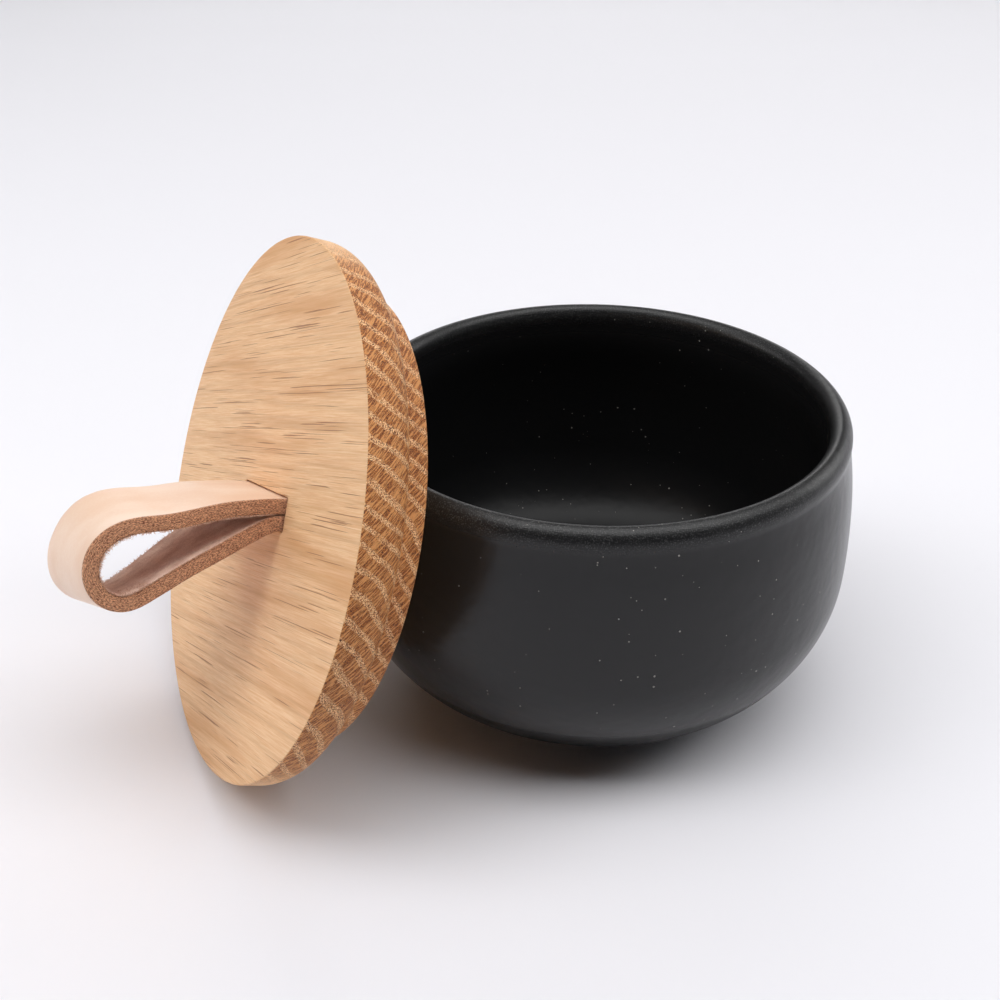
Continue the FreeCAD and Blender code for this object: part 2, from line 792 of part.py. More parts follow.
def crock_support(rise):
    """Distance from the origin to the plane that touches the crock's section.

    The plane's normal stands at an angle above level. It meets the side or the
    shoulder at its end, or the outer side or the crest of the lip.
    """
    def reach(place, radius=0):
        return place[0] * math.cos(rise) + place[1] * math.sin(rise) + radius

    centre, radius = side_above_belly()
    if rise < math.radians(heading(centre, shoulder_top())):
        side = reach(centre, radius)
    else:
        side = reach(shoulder_top())
    outer, crest, _ = lip_rounds()
    if rise < math.radians(heading(outer, crest)):
        lip = reach(outer, size("lip_outer_round"))
    else:
        lip = reach(crest, size("lip_crest_round"))
    return max(side, lip)


def lean_placement():
    """Where the lid's top face and axis lie when it leans on the crock.

    The lid touches the table with its round lower edge and the lip with the end
    face of its spigot. Both contacts are supports of a round shape along a known
    direction, so they give the height and the distance without a search.
    """
    rise = math.radians(size("lean_rise_degrees"))
    sine = math.sin(rise)
    cosine = math.cos(rise)
    bead = size("flange_round")

    edge_out = flange_radius() - bead
    edge_down = size("flange_thickness") - bead
    height = edge_out * cosine + edge_down * sine + bead

    away = (crock_support(rise) + lid_thickness() + size("lean_gap") - height * sine) / cosine

    turn = Rotation(Vector(0, 0, 1), size("lean_heading_degrees"))
    tilt = Rotation(Vector(0, 1, 0), 90 - size("lean_rise_degrees"))
    strap = Rotation(Vector(0, 0, 1), 90 + size("strap_turn_degrees"))
    base = turn.multVec(Vector(away, size("lean_sideways"), height))
    return Placement(base, turn.multiply(tilt).multiply(strap))


def check_document():
    """Stop if any object failed to build or any sketch failed to solve."""
    for item in doc.Objects:
        bad = [state for state in item.State if state in ("Invalid", "Error")]
        if bad:
            raise RuntimeError(f"{item.Label} is {bad}")
        if item.TypeId == "Sketcher::SketchObject" and not item.FullyConstrained:
            raise RuntimeError(f"{item.Label} is not fully constrained")


def write_parts(bodies):
    """Check each piece and write it under its own name."""
    os.makedirs("parts", exist_ok=True)
    for body in bodies:
        shape = body.Shape
        if shape.isNull() or not shape.isValid():
            raise RuntimeError(f"{body.Label} has no valid shape")
        low = shape.BoundBox
        print(f"{body.Label}: {len(shape.Solids)} solid, {shape.Volume:.1f} mm3, "
              f"x {low.XMin:.2f} to {low.XMax:.2f}, y {low.YMin:.2f} to {low.YMax:.2f}, "
              f"z {low.ZMin:.2f} to {low.ZMax:.2f}")
        shape.exportStep(f"parts/{body.Label}.step")


def build():
    place = lean_placement()
    bodies = [make_crock(), make_lid(place), make_strap_loop(place),
              make_strap_tails(place), make_strap_peg(place)]
    doc.recompute()
    check_document()
    write_parts(bodies)


build()
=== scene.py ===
# %% [markdown]
# # A stoneware salt crock with an oak lid
#
# The imported model is the fixed frame: it says where every solid sits, in metres.
# This script puts the finished surfaces around it. First it loads the frame.

# %% Load the frame
from functools import partial
import json
import math

import bpy
import numpy as np
from mathutils import Matrix, Vector


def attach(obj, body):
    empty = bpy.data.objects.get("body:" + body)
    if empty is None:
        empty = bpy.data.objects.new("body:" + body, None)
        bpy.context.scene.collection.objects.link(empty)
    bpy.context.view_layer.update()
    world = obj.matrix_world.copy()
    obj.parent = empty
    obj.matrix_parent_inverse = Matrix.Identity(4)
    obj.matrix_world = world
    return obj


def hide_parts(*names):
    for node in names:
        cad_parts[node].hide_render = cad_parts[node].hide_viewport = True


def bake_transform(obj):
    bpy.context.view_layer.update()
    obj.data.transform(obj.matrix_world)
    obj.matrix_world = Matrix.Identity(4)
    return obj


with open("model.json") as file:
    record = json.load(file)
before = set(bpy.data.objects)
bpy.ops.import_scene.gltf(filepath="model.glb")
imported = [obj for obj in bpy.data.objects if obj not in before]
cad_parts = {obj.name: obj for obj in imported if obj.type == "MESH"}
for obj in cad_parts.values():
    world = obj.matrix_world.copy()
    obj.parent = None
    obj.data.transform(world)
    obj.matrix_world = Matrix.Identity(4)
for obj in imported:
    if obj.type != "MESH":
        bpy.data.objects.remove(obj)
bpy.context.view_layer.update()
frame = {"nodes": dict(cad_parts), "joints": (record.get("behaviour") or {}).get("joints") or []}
MM = 0.001

# %% [markdown]
# ## Where the lid lies
#
# The lid leans on the crock, so its pieces are easiest to draw in the lid's own
# directions: across the face along the strap's width, up the face, and out of
# the face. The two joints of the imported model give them. The lid lifts along
# its outward normal, and the strap's hinge runs along its width.

# %% Directions and centre of the lid
SLOT_ALONG, SLOT_ACROSS = 6.3, 1.4
joints = {joint["name"]: joint for joint in frame["joints"]}
OUT = np.array(joints["lid_lift"]["axis"], float)
ALONG = -np.array(joints["strap_flex"]["axis"], float)
UP = np.cross(OUT, ALONG)
LID_CENTRE = np.array(joints["lid_lift"]["pos_m"], float)


def on_lid(along, up, out):
    """Lid centre plus three distances in mm times the lid's three directions."""
    parts = [np.asarray(value, float)[..., None] for value in (along, up, out)]
    return LID_CENTRE + MM * (parts[0] * ALONG + parts[1] * UP + parts[2] * OUT)


print("lid centre, mm:", (LID_CENTRE / MM).round(2))

# %% [markdown]
# ## Camera
#
# The photograph was taken from above the table. The camera stands 20 cm up and
# 26 cm in front of the crock's axis, and looks down by 31.6 degrees. Its lens
# is 47 mm long for a square frame of 36 mm, so it sees 42 degrees each way.

# %% Camera
FOCAL_PIXELS = 1297.6
IMAGE_PIXELS = 1000
SENSOR_MM = 36.0
CAMERA_PLACE = (-0.0219, -0.2597, 0.2027)
CAMERA_FALL_DEGREES = 31.56
NEAREST = 0.01

camera_data = bpy.data.cameras.new("camera")
camera_data.sensor_width = SENSOR_MM
camera_data.lens = SENSOR_MM * FOCAL_PIXELS / IMAGE_PIXELS
camera_data.clip_start = NEAREST
camera = bpy.data.objects.new("camera", camera_data)
camera.location = CAMERA_PLACE
camera.rotation_euler = (math.radians(90 - CAMERA_FALL_DEGREES), 0, 0)
bpy.context.collection.objects.link(camera)
bpy.context.scene.camera = camera
bpy.context.scene.view_settings.view_transform = "Standard"
print("lens, mm:", round(camera_data.lens, 2))

# %% [markdown]
# ## Surfaces from formulas
#
# Every piece is a grid: a point for each pair of two parameters, worked out as
# whole arrays. One helper joins the grid's points into four-sided faces, and
# closes it round on itself where the shape comes back to its start. Another
# makes the mesh and the object.

# %% Grid to mesh
def grid_faces(rows, columns, close_rows, close_columns):
    """Indices of the four corners of each cell, with the last row or column
    joined to the first where the grid closes."""
    row = np.arange(rows if close_rows else rows - 1)
    column = np.arange(columns if close_columns else columns - 1)
    row, column = np.meshgrid(row, column, indexing="ij")
    next_row, next_column = (row + 1) % rows, (column + 1) % columns
    corners = (row * columns + column, row * columns + next_column,
               next_row * columns + next_column, next_row * columns + column)
    return np.stack(corners, -1).reshape(-1, 4)


def make_piece(name, points, *face_arrays):
    """A smooth-shaded mesh object from an array of points, in metres, and one or
    more arrays of faces."""
    mesh = bpy.data.meshes.new(name)
    faces = [face for array in face_arrays for face in array.tolist()]
    mesh.from_pydata(np.asarray(points).reshape(-1, 3).tolist(), [], faces)
    mesh.validate()
    mesh.shade_smooth()
    piece = bpy.data.objects.new(name, mesh)
    bpy.context.collection.objects.link(piece)
    return piece


# %% [markdown]
# ## Crock
#
# A pot like this is jiggered or thrown: a profile turned about the upright
# axis. The profile runs from the middle of the underside, round the foot ring,
# up the belly, over the shoulder and the collar, across the lip and down to the
# middle of the floor. It is drawn as arcs that touch one another, as a potter's
# template would be.

# %% Profile of the crock
CROCK_HEIGHT = 70.0
RIM_RADIUS, MOUTH_RADIUS, MOUTH_DEPTH = 56.2, 51.3, 10.0
LIP_OUTER, LIP_CREST, LIP_INNER, CREST_INSET = 4.0, 1.0, 3.1, 2.0
COLLAR_HEIGHT, SHOULDER_DROP, SHOULDER_STEP = 8.4, 1.0, 0.7
BELLY_RADIUS, BELLY_HEIGHT = 58.7, 37.1
SIDE_RADIUS, KNUCKLE_RADIUS, CORNER_RADIUS = 140.0, 33.8, 22.0
UNDERSIDE, WALL, FLOOR_LEVEL = 0.8, 4.6, 7.5
FOOT_RADIUS, FOOT_WIDTH, FOOT_RECESS = 34.0, 4.5, 1.8
TIGHT_ARC_POINTS, SIDE_ARC_POINTS = 60, 40
LIP_ARC_POINTS, CREST_ARC_POINTS = 24, 16


def arc(centre, radius, start, end, count):
    """Points on a circle from one angle to another, in radians."""
    turn = np.linspace(start, end, count)
    return np.stack([centre[0] + radius * np.cos(turn),
                     centre[1] + radius * np.sin(turn)], -1)


def side_curves(belly, side, corner_radius, corner_height, top_radius, top_height):
    """The corner arc, the side arc up to the belly and the arc to the top: their
    centres, and the angle at which the first two meet in one tangent."""
    side_centre = (belly - side, BELLY_HEIGHT)
    reach = side - corner_radius
    meet = -math.asin((BELLY_HEIGHT - corner_height) / reach)
    corner_centre = (side_centre[0] + reach * math.cos(meet), corner_height)
    rise, inset = top_height - BELLY_HEIGHT, belly - top_radius
    upper = (rise ** 2 + inset ** 2) / (2 * inset)
    upper_centre = (belly - upper, BELLY_HEIGHT)
    return side_centre, meet, corner_centre, upper, upper_centre, math.asin(rise / upper)


def lip_curves():
    """The outer, crest and inner arcs of the lip. Circles that touch inside have
    centres as far apart as their radii differ, which gives the two heights."""
    crest = (MOUTH_RADIUS + CREST_INSET, CROCK_HEIGHT - LIP_CREST)
    across = (RIM_RADIUS - LIP_OUTER, MOUTH_RADIUS + LIP_INNER)
    drops = [math.sqrt((radius - LIP_CREST) ** 2 - (crest[0] - place) ** 2)
             for radius, place in zip((LIP_OUTER, LIP_INNER), across)]
    outer, inner = ((place, crest[1] - drop) for place, drop in zip(across, drops))
    turns = [math.atan2(crest[1] - centre[1], crest[0] - centre[0]) for centre in (outer, inner)]
    return [arc(outer, LIP_OUTER, 0, turns[0], LIP_ARC_POINTS),
            arc(crest, LIP_CREST, turns[0], turns[1], CREST_ARC_POINTS)[1:],
            arc(inner, LIP_INNER, turns[1], math.pi, LIP_ARC_POINTS)[1:]]


def outside_curves():
    """From the middle of the underside to the foot of the collar."""
    collar_foot = CROCK_HEIGHT - COLLAR_HEIGHT
    shoulder = (RIM_RADIUS + SHOULDER_STEP, collar_foot - SHOULDER_DROP)
    side_centre, meet, knuckle, upper, upper_centre, upper_turn = side_curves(
        BELLY_RADIUS, SIDE_RADIUS, KNUCKLE_RADIUS, UNDERSIDE + KNUCKLE_RADIUS, *shoulder)
    foot_turn = -math.acos((FOOT_RADIUS - knuckle[0]) / KNUCKLE_RADIUS)
    return [
        [(0, FOOT_RECESS), (FOOT_RADIUS - FOOT_WIDTH, FOOT_RECESS)],
        [(FOOT_RADIUS - FOOT_WIDTH, 0), (FOOT_RADIUS, 0)],
        arc(knuckle, KNUCKLE_RADIUS, foot_turn, meet, TIGHT_ARC_POINTS),
        arc(side_centre, SIDE_RADIUS, meet, 0, SIDE_ARC_POINTS)[1:],
        arc(upper_centre, upper, 0, upper_turn, SIDE_ARC_POINTS)[1:],
        [(RIM_RADIUS, collar_foot)],
    ]


def inside_curves():
    """From the throat under the lip to the middle of the floor."""
    side_centre, meet, corner, upper, upper_centre, upper_turn = side_curves(
        BELLY_RADIUS - WALL, SIDE_RADIUS - WALL, CORNER_RADIUS, FLOOR_LEVEL + CORNER_RADIUS,
        MOUTH_RADIUS, CROCK_HEIGHT - MOUTH_DEPTH)
    return [
        arc(upper_centre, upper, upper_turn, 0, SIDE_ARC_POINTS),
        arc(side_centre, SIDE_RADIUS - WALL, 0, meet, SIDE_ARC_POINTS)[1:],
        arc(corner, CORNER_RADIUS, meet, -math.pi / 2, TIGHT_ARC_POINTS)[1:],
        [(0, FLOOR_LEVEL)],
    ]


runs = outside_curves() + lip_curves() + inside_curves()
sharp_profile = np.concatenate([np.asarray(run, float) for run in runs])
print("points on the sharp profile:", len(sharp_profile))

# %% [markdown]
# Clay and glaze have no sharp corner, so the corners are softened along the
# profile before it is turned. A Bevel modifier could round them too, but one
# average along the line also gives the slow swell of the glaze at the shoulder.

# %% Soften the profile
EVEN_STEP, FINE_REACH, BROAD_REACH = 0.05, 0.25, 2.6
SHOULDER_FADE, LIP_FADE = (52, 57), (64, 66)
REACHES_KEPT = 4
CELL_LENGTH, CELL_TURN = 2.5, math.radians(6)
PROFILE_POINTS = 260


def length_so_far(line):
    """At each point of a line, the sum of the steps that lead to it, from 0."""
    return np.append(0, np.cumsum(np.linalg.norm(np.diff(line, axis=0), axis=1)))


def read_at(places, known, table):
    """Read both columns of a table, whose lines stand at known places, at other
    places, by straight mixing between neighbours."""
    return np.stack([np.interp(places, known, table[:, k]) for k in (0, 1)], -1)


def ease(value, low, high):
    """Smooth step: 0 below low, 1 above high, and 3t^2 - 2t^3 between them."""
    t = np.clip((value - low) / (high - low), 0, 1)
    return t * t * (3 - 2 * t)


def soften(points):
    """Resample a line at even steps, then average it with a Gaussian at every
    place. It is broad at the shoulder and the throat, and fine elsewhere."""
    along = length_so_far(points)
    line = read_at(np.arange(0, along[-1], EVEN_STEP), along, points)
    soft = []
    for reach in (FINE_REACH, BROAD_REACH):
        side = int(REACHES_KEPT * reach / EVEN_STEP)
        weight = np.exp(-0.5 * (np.arange(-side, side + 1) * EVEN_STEP / reach) ** 2)
        weight /= weight.sum()
        ends = (2 * line[:1] - line[side:0:-1], line, 2 * line[-1:] - line[-2:-side - 2:-1])
        padded = np.concatenate(ends)
        soft.append(np.stack([np.convolve(padded[:, k], weight, "valid") for k in (0, 1)], -1))
    height = line[:, 1]
    share = (ease(height, *SHOULDER_FADE) * (1 - ease(height, *LIP_FADE)))[:, None]
    return soft[0] + share * (soft[1] - soft[0])


def spread(points, count):
    """Pick count points, closer together where the line bends: the measure
    grows by length over a cell's length plus turning over a cell's turn, and is
    cut evenly."""
    run = np.diff(points, axis=0)
    heading = np.unwrap(np.arctan2(run[:, 1], run[:, 0]))
    turning = np.abs(np.append(0, np.diff(heading)))
    cells = np.linalg.norm(run, axis=1) / CELL_LENGTH + turning / CELL_TURN
    measure = np.append(0, np.cumsum(cells))
    return read_at(np.linspace(0, measure[-1], count), measure, points)


profile = spread(soften(sharp_profile), PROFILE_POINTS)
profile[0, 0] = profile[-1, 0] = 0
print("profile points:", len(profile), "highest, mm:", profile[:, 1].max().round(3))

# %% [markdown]
# The profile could be turned by a Screw modifier. A grid lets the wall wander a
# little as well, as a fired pot's does, and closes both poles with one fan of
# triangles each.

# %% Turn the profile
CROCK_TURNS = 320
WANDER_MM = 0.12
WANDER_WAVES = ((2, 1.0, 0.7, 0), (3, 0.5, 2.1, 0.02))  # a turn, share, phase, twist per mm
LIP_WAVES, LIP_SHARE, LIP_PHASE = 2, 0.5, 1.9


def turned_crock(line):
    """Turn the line about Z. The radius wanders by two and three slow waves a
    turn, times a share that grows with height, as a pot's wall does in firing,
    and the lip rises and falls by two waves a turn."""
    turn = np.linspace(0, 2 * np.pi, CROCK_TURNS, endpoint=False)[:, None]
    radius, height = line[None, :, 0], line[None, :, 1]
    wave = sum(share * np.sin(count * turn + phase + twist * height)
               for count, share, phase, twist in WANDER_WAVES)
    grown = ease(height, 0, CROCK_HEIGHT) * ease(radius, 0, FOOT_RADIUS)
    wide = radius + WANDER_MM * wave * grown
    lip = (LIP_SHARE * WANDER_MM * np.sin(LIP_WAVES * turn + LIP_PHASE)
           * ease(height, BELLY_HEIGHT, CROCK_HEIGHT))
    return MM * np.stack([wide * np.cos(turn), wide * np.sin(turn),
                          height + lip + 0 * turn], -1)


surface = turned_crock(profile[1:-1])
inner = surface.shape[1]
quads = grid_faces(CROCK_TURNS, inner, True, False)
poles = MM * np.array([[0, 0, profile[0, 1]], [0, 0, profile[-1, 1]]])
here = np.arange(CROCK_TURNS)
there = (here + 1) % CROCK_TURNS
low_fan = np.stack([here * inner, there * inner, 0 * here + CROCK_TURNS * inner], -1)
high_fan = np.stack([there * inner + inner - 1, here * inner + inner - 1,
                     0 * here + CROCK_TURNS * inner + 1], -1)
crock = make_piece("crock_body", np.concatenate([surface.reshape(-1, 3), poles]),
                   quads[:, ::-1], low_fan[:, ::-1], high_fan[:, ::-1])
print("crock faces:", len(crock.data.polygons))

# %% [markdown]
# ## Lid
#
# The lid is turned from one oak board, and a slot is cut through it near the
# middle. Its surface is a band that closes both ways: round the slot, and from
# the slot's edge across the top, over the arris, down the side, round the soft
# lower edge, along the ledge and the spigot and back up through the slot. A
# Boolean could cut the slot too, but in the band its edge stays clean.

# %% Outline of the slot and section of the lid
FLANGE_RADIUS, FLANGE_THICKNESS, FLANGE_ROUND = 58.2, 10.3, 6.0
SPIGOT_RADIUS, SPIGOT_DEPTH, SPIGOT_ROOT = 49.6, 6.2, 1.5
LID_THICKNESS = FLANGE_THICKNESS + SPIGOT_DEPTH
TOP_ARRIS, SPIGOT_ARRIS, SLOT_ARRIS = 0.4, 0.6, 0.3
SLOT_LENGTH, SLOT_WIDTH, SLOT_CORNER = 26.8, 7.1, 0.6
LAST_FLAT_RING = 0.6
LID_AROUND = 288
ROUND_POINTS, SMALL_ROUND_POINTS, ARRIS_POINTS = 25, 9, 7


def slot_outline(count, grow):
    """A rectangle with round corners, made larger all round by grow, by even
    steps along its edge from the middle of one end."""
    corner = SLOT_CORNER + grow
    half = np.array([SLOT_LENGTH, SLOT_WIDTH]) / 2 + grow - corner
    runs = [[(half[0] + corner, 0)]]
    for number, (sx, sy) in enumerate(((1, 1), (-1, 1), (-1, -1), (1, -1))):
        start = number * math.pi / 2
        runs.append(arc((sx * half[0], sy * half[1]), corner,
                        start, start + math.pi / 2, SMALL_ROUND_POINTS))
    runs.append([(half[0] + corner, 0)])
    line = np.concatenate([np.asarray(run, float) for run in runs])
    along = length_so_far(line)
    ring = read_at(np.linspace(0, along[-1], count, endpoint=False), along, line)
    return ring + (SLOT_ALONG, SLOT_ACROSS)


def lid_section():
    """Radius and height of the turned part, from the top face to the underside."""
    runs = [
        [(FLANGE_RADIUS - TOP_ARRIS - LAST_FLAT_RING, 0), (FLANGE_RADIUS - TOP_ARRIS, 0)],
        arc((FLANGE_RADIUS - TOP_ARRIS, -TOP_ARRIS), TOP_ARRIS, math.pi / 2, 0,
            ARRIS_POINTS)[1:],
        arc((FLANGE_RADIUS - FLANGE_ROUND, FLANGE_ROUND - FLANGE_THICKNESS),
            FLANGE_ROUND, 0, -math.pi / 2, ROUND_POINTS),
        arc((SPIGOT_RADIUS + SPIGOT_ROOT, -FLANGE_THICKNESS - SPIGOT_ROOT),
            SPIGOT_ROOT, math.pi / 2, math.pi, SMALL_ROUND_POINTS),
        [(SPIGOT_RADIUS, -LID_THICKNESS + SPIGOT_ARRIS)],
        arc((SPIGOT_RADIUS - SPIGOT_ARRIS, -LID_THICKNESS + SPIGOT_ARRIS),
            SPIGOT_ARRIS, 0, -math.pi / 2, ARRIS_POINTS)[1:],
    ]
    return np.concatenate([np.asarray(run, float) for run in runs])


# %% [markdown]
# The section is turned round the lid's axis, but the slot isn't round. So the
# flat rings of the top and the underside mix the slot's outline with a circle,
# which keeps every face four-sided.

# %% Surface of the lid
FLAT_SHARES = (0, 0.02, 0.3, 0.65, 0.98)
EASED_SHARE = 0.3


def lid_surface(around):
    """Rings from the slot's mouth to its lower end: flat rings mix the slot's
    outline with a circle, the turned rings follow the section."""
    turn = np.linspace(0, 2 * np.pi, around, endpoint=False)
    circle = np.stack([np.cos(turn), np.sin(turn)], -1)
    section = lid_section()
    rings = []

    def flat(height, mixes, grow, radius):
        for mix in mixes:
            ring = (1 - mix) * slot_outline(around, grow) + mix * radius * circle
            rings.append(np.column_stack([ring, np.full(around, height)]))

    flat(-SLOT_ARRIS, (0,), 0, 0)
    flat(-EASED_SHARE * SLOT_ARRIS, (0,), EASED_SHARE * SLOT_ARRIS, 0)
    flat(0, FLAT_SHARES, SLOT_ARRIS, section[0, 0])
    for radius, height in section:
        rings.append(np.column_stack([radius * circle, np.full(around, height)]))
    flat(-LID_THICKNESS, FLAT_SHARES[::-1], SLOT_ARRIS, section[-1, 0])
    flat(-LID_THICKNESS + SLOT_ARRIS, (0,), 0, 0)
    return np.stack(rings)


lid_points = lid_surface(LID_AROUND)
lid_world = on_lid(lid_points[..., 0], lid_points[..., 1], lid_points[..., 2])
lid = make_piece("lid_turned", lid_world, grid_faces(*lid_points.shape[:2], True, True))
print("lid rings:", lid_points.shape[0])

# %% [markdown]
# A groove for the peg is milled into the underside, across the strap. It meets
# the slot at right angles, so here a Boolean with a plain box is the short way.

# %% Groove for the peg
PEG_RADIUS, PEG_LENGTH, PEG_ROOM, GROOVE_DEPTH = 2.0, 22.0, 0.15, 8.0
SHARP_ANGLE = math.radians(35)
BOX_FACES = np.array([(0, 1, 3, 2), (4, 6, 7, 5), (0, 4, 5, 1),
                      (2, 3, 7, 6), (0, 2, 6, 4), (1, 5, 7, 3)])


def box_points(centre, half):
    """The eight corners of a box in the lid's directions."""
    signs = np.array([(x, y, z) for x in (-1, 1) for y in (-1, 1) for z in (-1, 1)])
    corner = np.asarray(centre) + signs * half
    return on_lid(corner[:, 0], corner[:, 1], corner[:, 2])


groove_half = (PEG_RADIUS + PEG_ROOM, PEG_LENGTH / 2 + PEG_ROOM, GROOVE_DEPTH)
cutter = make_piece("groove_cutter", box_points((SLOT_ALONG, SLOT_ACROSS, -LID_THICKNESS),
                                                groove_half), BOX_FACES)
cut = lid.modifiers.new("groove", "BOOLEAN")
cut.object = cutter
cut.operation = "DIFFERENCE"
cut.solver = "EXACT"
bpy.context.view_layer.update()
evaluated = lid.evaluated_get(bpy.context.evaluated_depsgraph_get())
grooved = bpy.data.meshes.new_from_object(evaluated)
lid.modifiers.clear()
lid.data = grooved
bpy.data.objects.remove(cutter)
grooved.shade_smooth()
grooved.set_sharp_from_angle(angle=SHARP_ANGLE)
print("lid faces with the groove:", len(grooved.polygons))

# %% [markdown]
# ## Strap
#
# One strip of vegetable tanned leather is folded in two. Its line, seen on
# edge, comes up the slot, bends over, droops to the fold and comes back. A
# smooth curve goes through a few points read off the loop's edge, and the
# strip's thick section is carried along it. The fold isn't square: the loop is
# fuller at its far edge, so each edge has a line of its own.

# %% Lines of the strap
LEATHER, STRAP_WIDTH = 3.2, 26.0
TAIL_RECESS = 1.5
TAIL_END = TAIL_RECESS - LID_THICKNESS
NEAR_POINTS = [
    (-10.0, 1.65), (-4.0, 1.65), (0.6, 1.6), (5.5, 0.9), (10.1, 0.0), (14.6, -1.3),
    (19.2, -2.9), (23.7, -4.2), (28.3, -5.2), (32.6, -7.2), (35.5, -10.9),
    (35.8, -15.5), (33.3, -19.4), (28.8, -20.5), (24.6, -18.3), (21.0, -15.5),
    (17.2, -12.6), (13.3, -9.9), (9.4, -7.1), (5.6, -4.4), (1.6, -2.15), (-4.0, -1.65),
    (-10.0, -1.65)]
FAR_POINTS = [
    (-10.0, 1.65), (-4.0, 1.65), (0.6, 1.65), (5.5, 1.2), (10.4, 0.5), (15.2, -0.4),
    (20.0, -1.7), (24.8, -2.6), (29.6, -3.7), (34.2, -6.6), (36.9, -11.5),
    (37.6, -16.8), (35.6, -21.8), (31.0, -24.2), (26.4, -23.0), (22.3, -19.5),
    (18.0, -15.2), (14.0, -11.2), (9.8, -7.6), (5.7, -4.5), (1.6, -2.15), (-4.0, -1.65),
    (-10.0, -1.65)]
STRAP_ROWS = 250


def smooth_line(points, count):
    """Natural cubic spline by chord length: the second derivatives solve a
    three-diagonal system, and the line is then cut into even steps."""
    chord = length_so_far(points)
    span = np.diff(chord)
    size = len(points)
    matrix, right = np.eye(size), np.zeros((size, 2))
    middle = np.arange(1, size - 1)
    matrix[middle, middle - 1] = span[:-1]
    matrix[middle, middle] = 2 * (span[:-1] + span[1:])
    matrix[middle, middle + 1] = span[1:]
    slope = np.diff(points, axis=0) / span[:, None]
    right[1:-1] = 6 * np.diff(slope, axis=0)
    curve = np.linalg.solve(matrix, right)
    at = np.linspace(0, chord[-1], count)
    cell = np.clip(np.searchsorted(chord, at, side="right") - 1, 0, size - 2)
    before, after = (at - chord[cell])[:, None], (chord[cell + 1] - at)[:, None]
    width = span[cell][:, None]
    return ((curve[cell] * after ** 3 + curve[cell + 1] * before ** 3) / (6 * width)
            + (points[cell] / width - curve[cell] * width / 6) * after
            + (points[cell + 1] / width - curve[cell + 1] * width / 6) * before)


def edge_line(points):
    """The line with its two tail ends, its inward normals and its length so far."""
    ends = [(TAIL_END, points[0][1])], [(TAIL_END, points[-1][1])]
    line = smooth_line(np.array(ends[0] + points + ends[1]), STRAP_ROWS)
    run = np.gradient(line, axis=0)
    run /= np.linalg.norm(run, axis=1)[:, None]
    inward = np.stack([run[:, 1], -run[:, 0]], -1)
    return line, inward, length_so_far(line)


near_line, near_inward, near_length = edge_line(NEAR_POINTS)
far_line, far_inward, far_length = edge_line(FAR_POINTS)
print("strap length near and far, mm:", near_length[-1].round(1), far_length[-1].round(1))

# %% [markdown]
# Thick leather is cut with a knife, so its edges are square, with a small round
# where they are handled and a slightly ragged face. The section is a rectangle
# whose ends follow powers of a cosine and a sine. It could be a curve's bevel,
# but then both edges would have to follow the same line.

# %% Section of the strap
EDGE_ROUND = 0.45
EDGE_POWER_OUT, EDGE_POWER_THICK = 0.45, 0.8
BROAD_CELLS, EDGE_CELLS = 40, 10
RAGGED_MM = 0.08
RANDOM_SEED = 11


def strap_section():
    """The strip's outline: out along the grain side, round the near edge, back
    along the flesh side and round the far edge. Two columns: across, inward."""
    half, thick = STRAP_WIDTH / 2, LEATHER / 2
    across = np.linspace(-half + EDGE_ROUND, half - EDGE_ROUND, BROAD_CELLS + 1)
    broad = np.stack([across, np.full_like(across, -thick)], -1)
    turn = np.linspace(-np.pi / 2, np.pi / 2, EDGE_CELLS + 1)[1:-1]
    out = EDGE_ROUND * np.abs(np.cos(turn)) ** EDGE_POWER_OUT
    through = np.sign(np.sin(turn)) * np.abs(np.sin(turn)) ** EDGE_POWER_THICK
    edge = np.stack([half - EDGE_ROUND + out, thick * through], -1)
    return np.concatenate([broad, edge, -broad, -edge])


def strap_place(row, across, inward):
    """Each edge has its own line, and the strip between them is a straight mix:
    the near line's share is the distance from the far edge over the width."""
    row, across, inward = np.broadcast_arrays(row, across, inward)
    rows = np.arange(STRAP_ROWS)
    near = read_at(row, rows, near_line) + inward[..., None] * read_at(row, rows, near_inward)
    far = read_at(row, rows, far_line) + inward[..., None] * read_at(row, rows, far_inward)
    share = 0.5 + across / STRAP_WIDTH
    edge_view = far + share[..., None] * (near - far)
    return on_lid(SLOT_ALONG + across, SLOT_ACROSS + edge_view[..., 1], edge_view[..., 0])


section = strap_section()
columns = len(section)
rng = np.random.default_rng(RANDOM_SEED)
rough = rng.normal(0, 1, (STRAP_ROWS, columns))
rough = (rough + np.roll(rough, 1, 0) + np.roll(rough, -1, 0)) / 3
ragged = np.abs(section[:, 0]) > STRAP_WIDTH / 2 - EDGE_ROUND
across = section[:, 0] + RAGGED_MM * rough * ragged * np.sign(section[:, 0])
strap_points = strap_place(np.arange(STRAP_ROWS)[:, None], across, section[:, 1])
start_cap = np.arange(columns)
end_cap = (STRAP_ROWS - 1) * columns + start_cap[::-1]
strap = make_piece("strap_leather", strap_points,
                   grid_faces(STRAP_ROWS, columns, False, True)[:, ::-1],
                   np.stack([start_cap, end_cap]))
print("strap faces:", len(strap.data.polygons))

# %% [markdown]
# The two broad sides and the cut edges of leather look quite different, so
# each face gets one of three finishes by the place of its column in the
# section. A UV map follows the strip, so that creases and fibres bend with it.
# Its unit is ten centimetres.

# %% Sides and map of the strap
GRAIN, EDGE, FLESH = 0, 1, 2
MM_PER_UV = 100.0


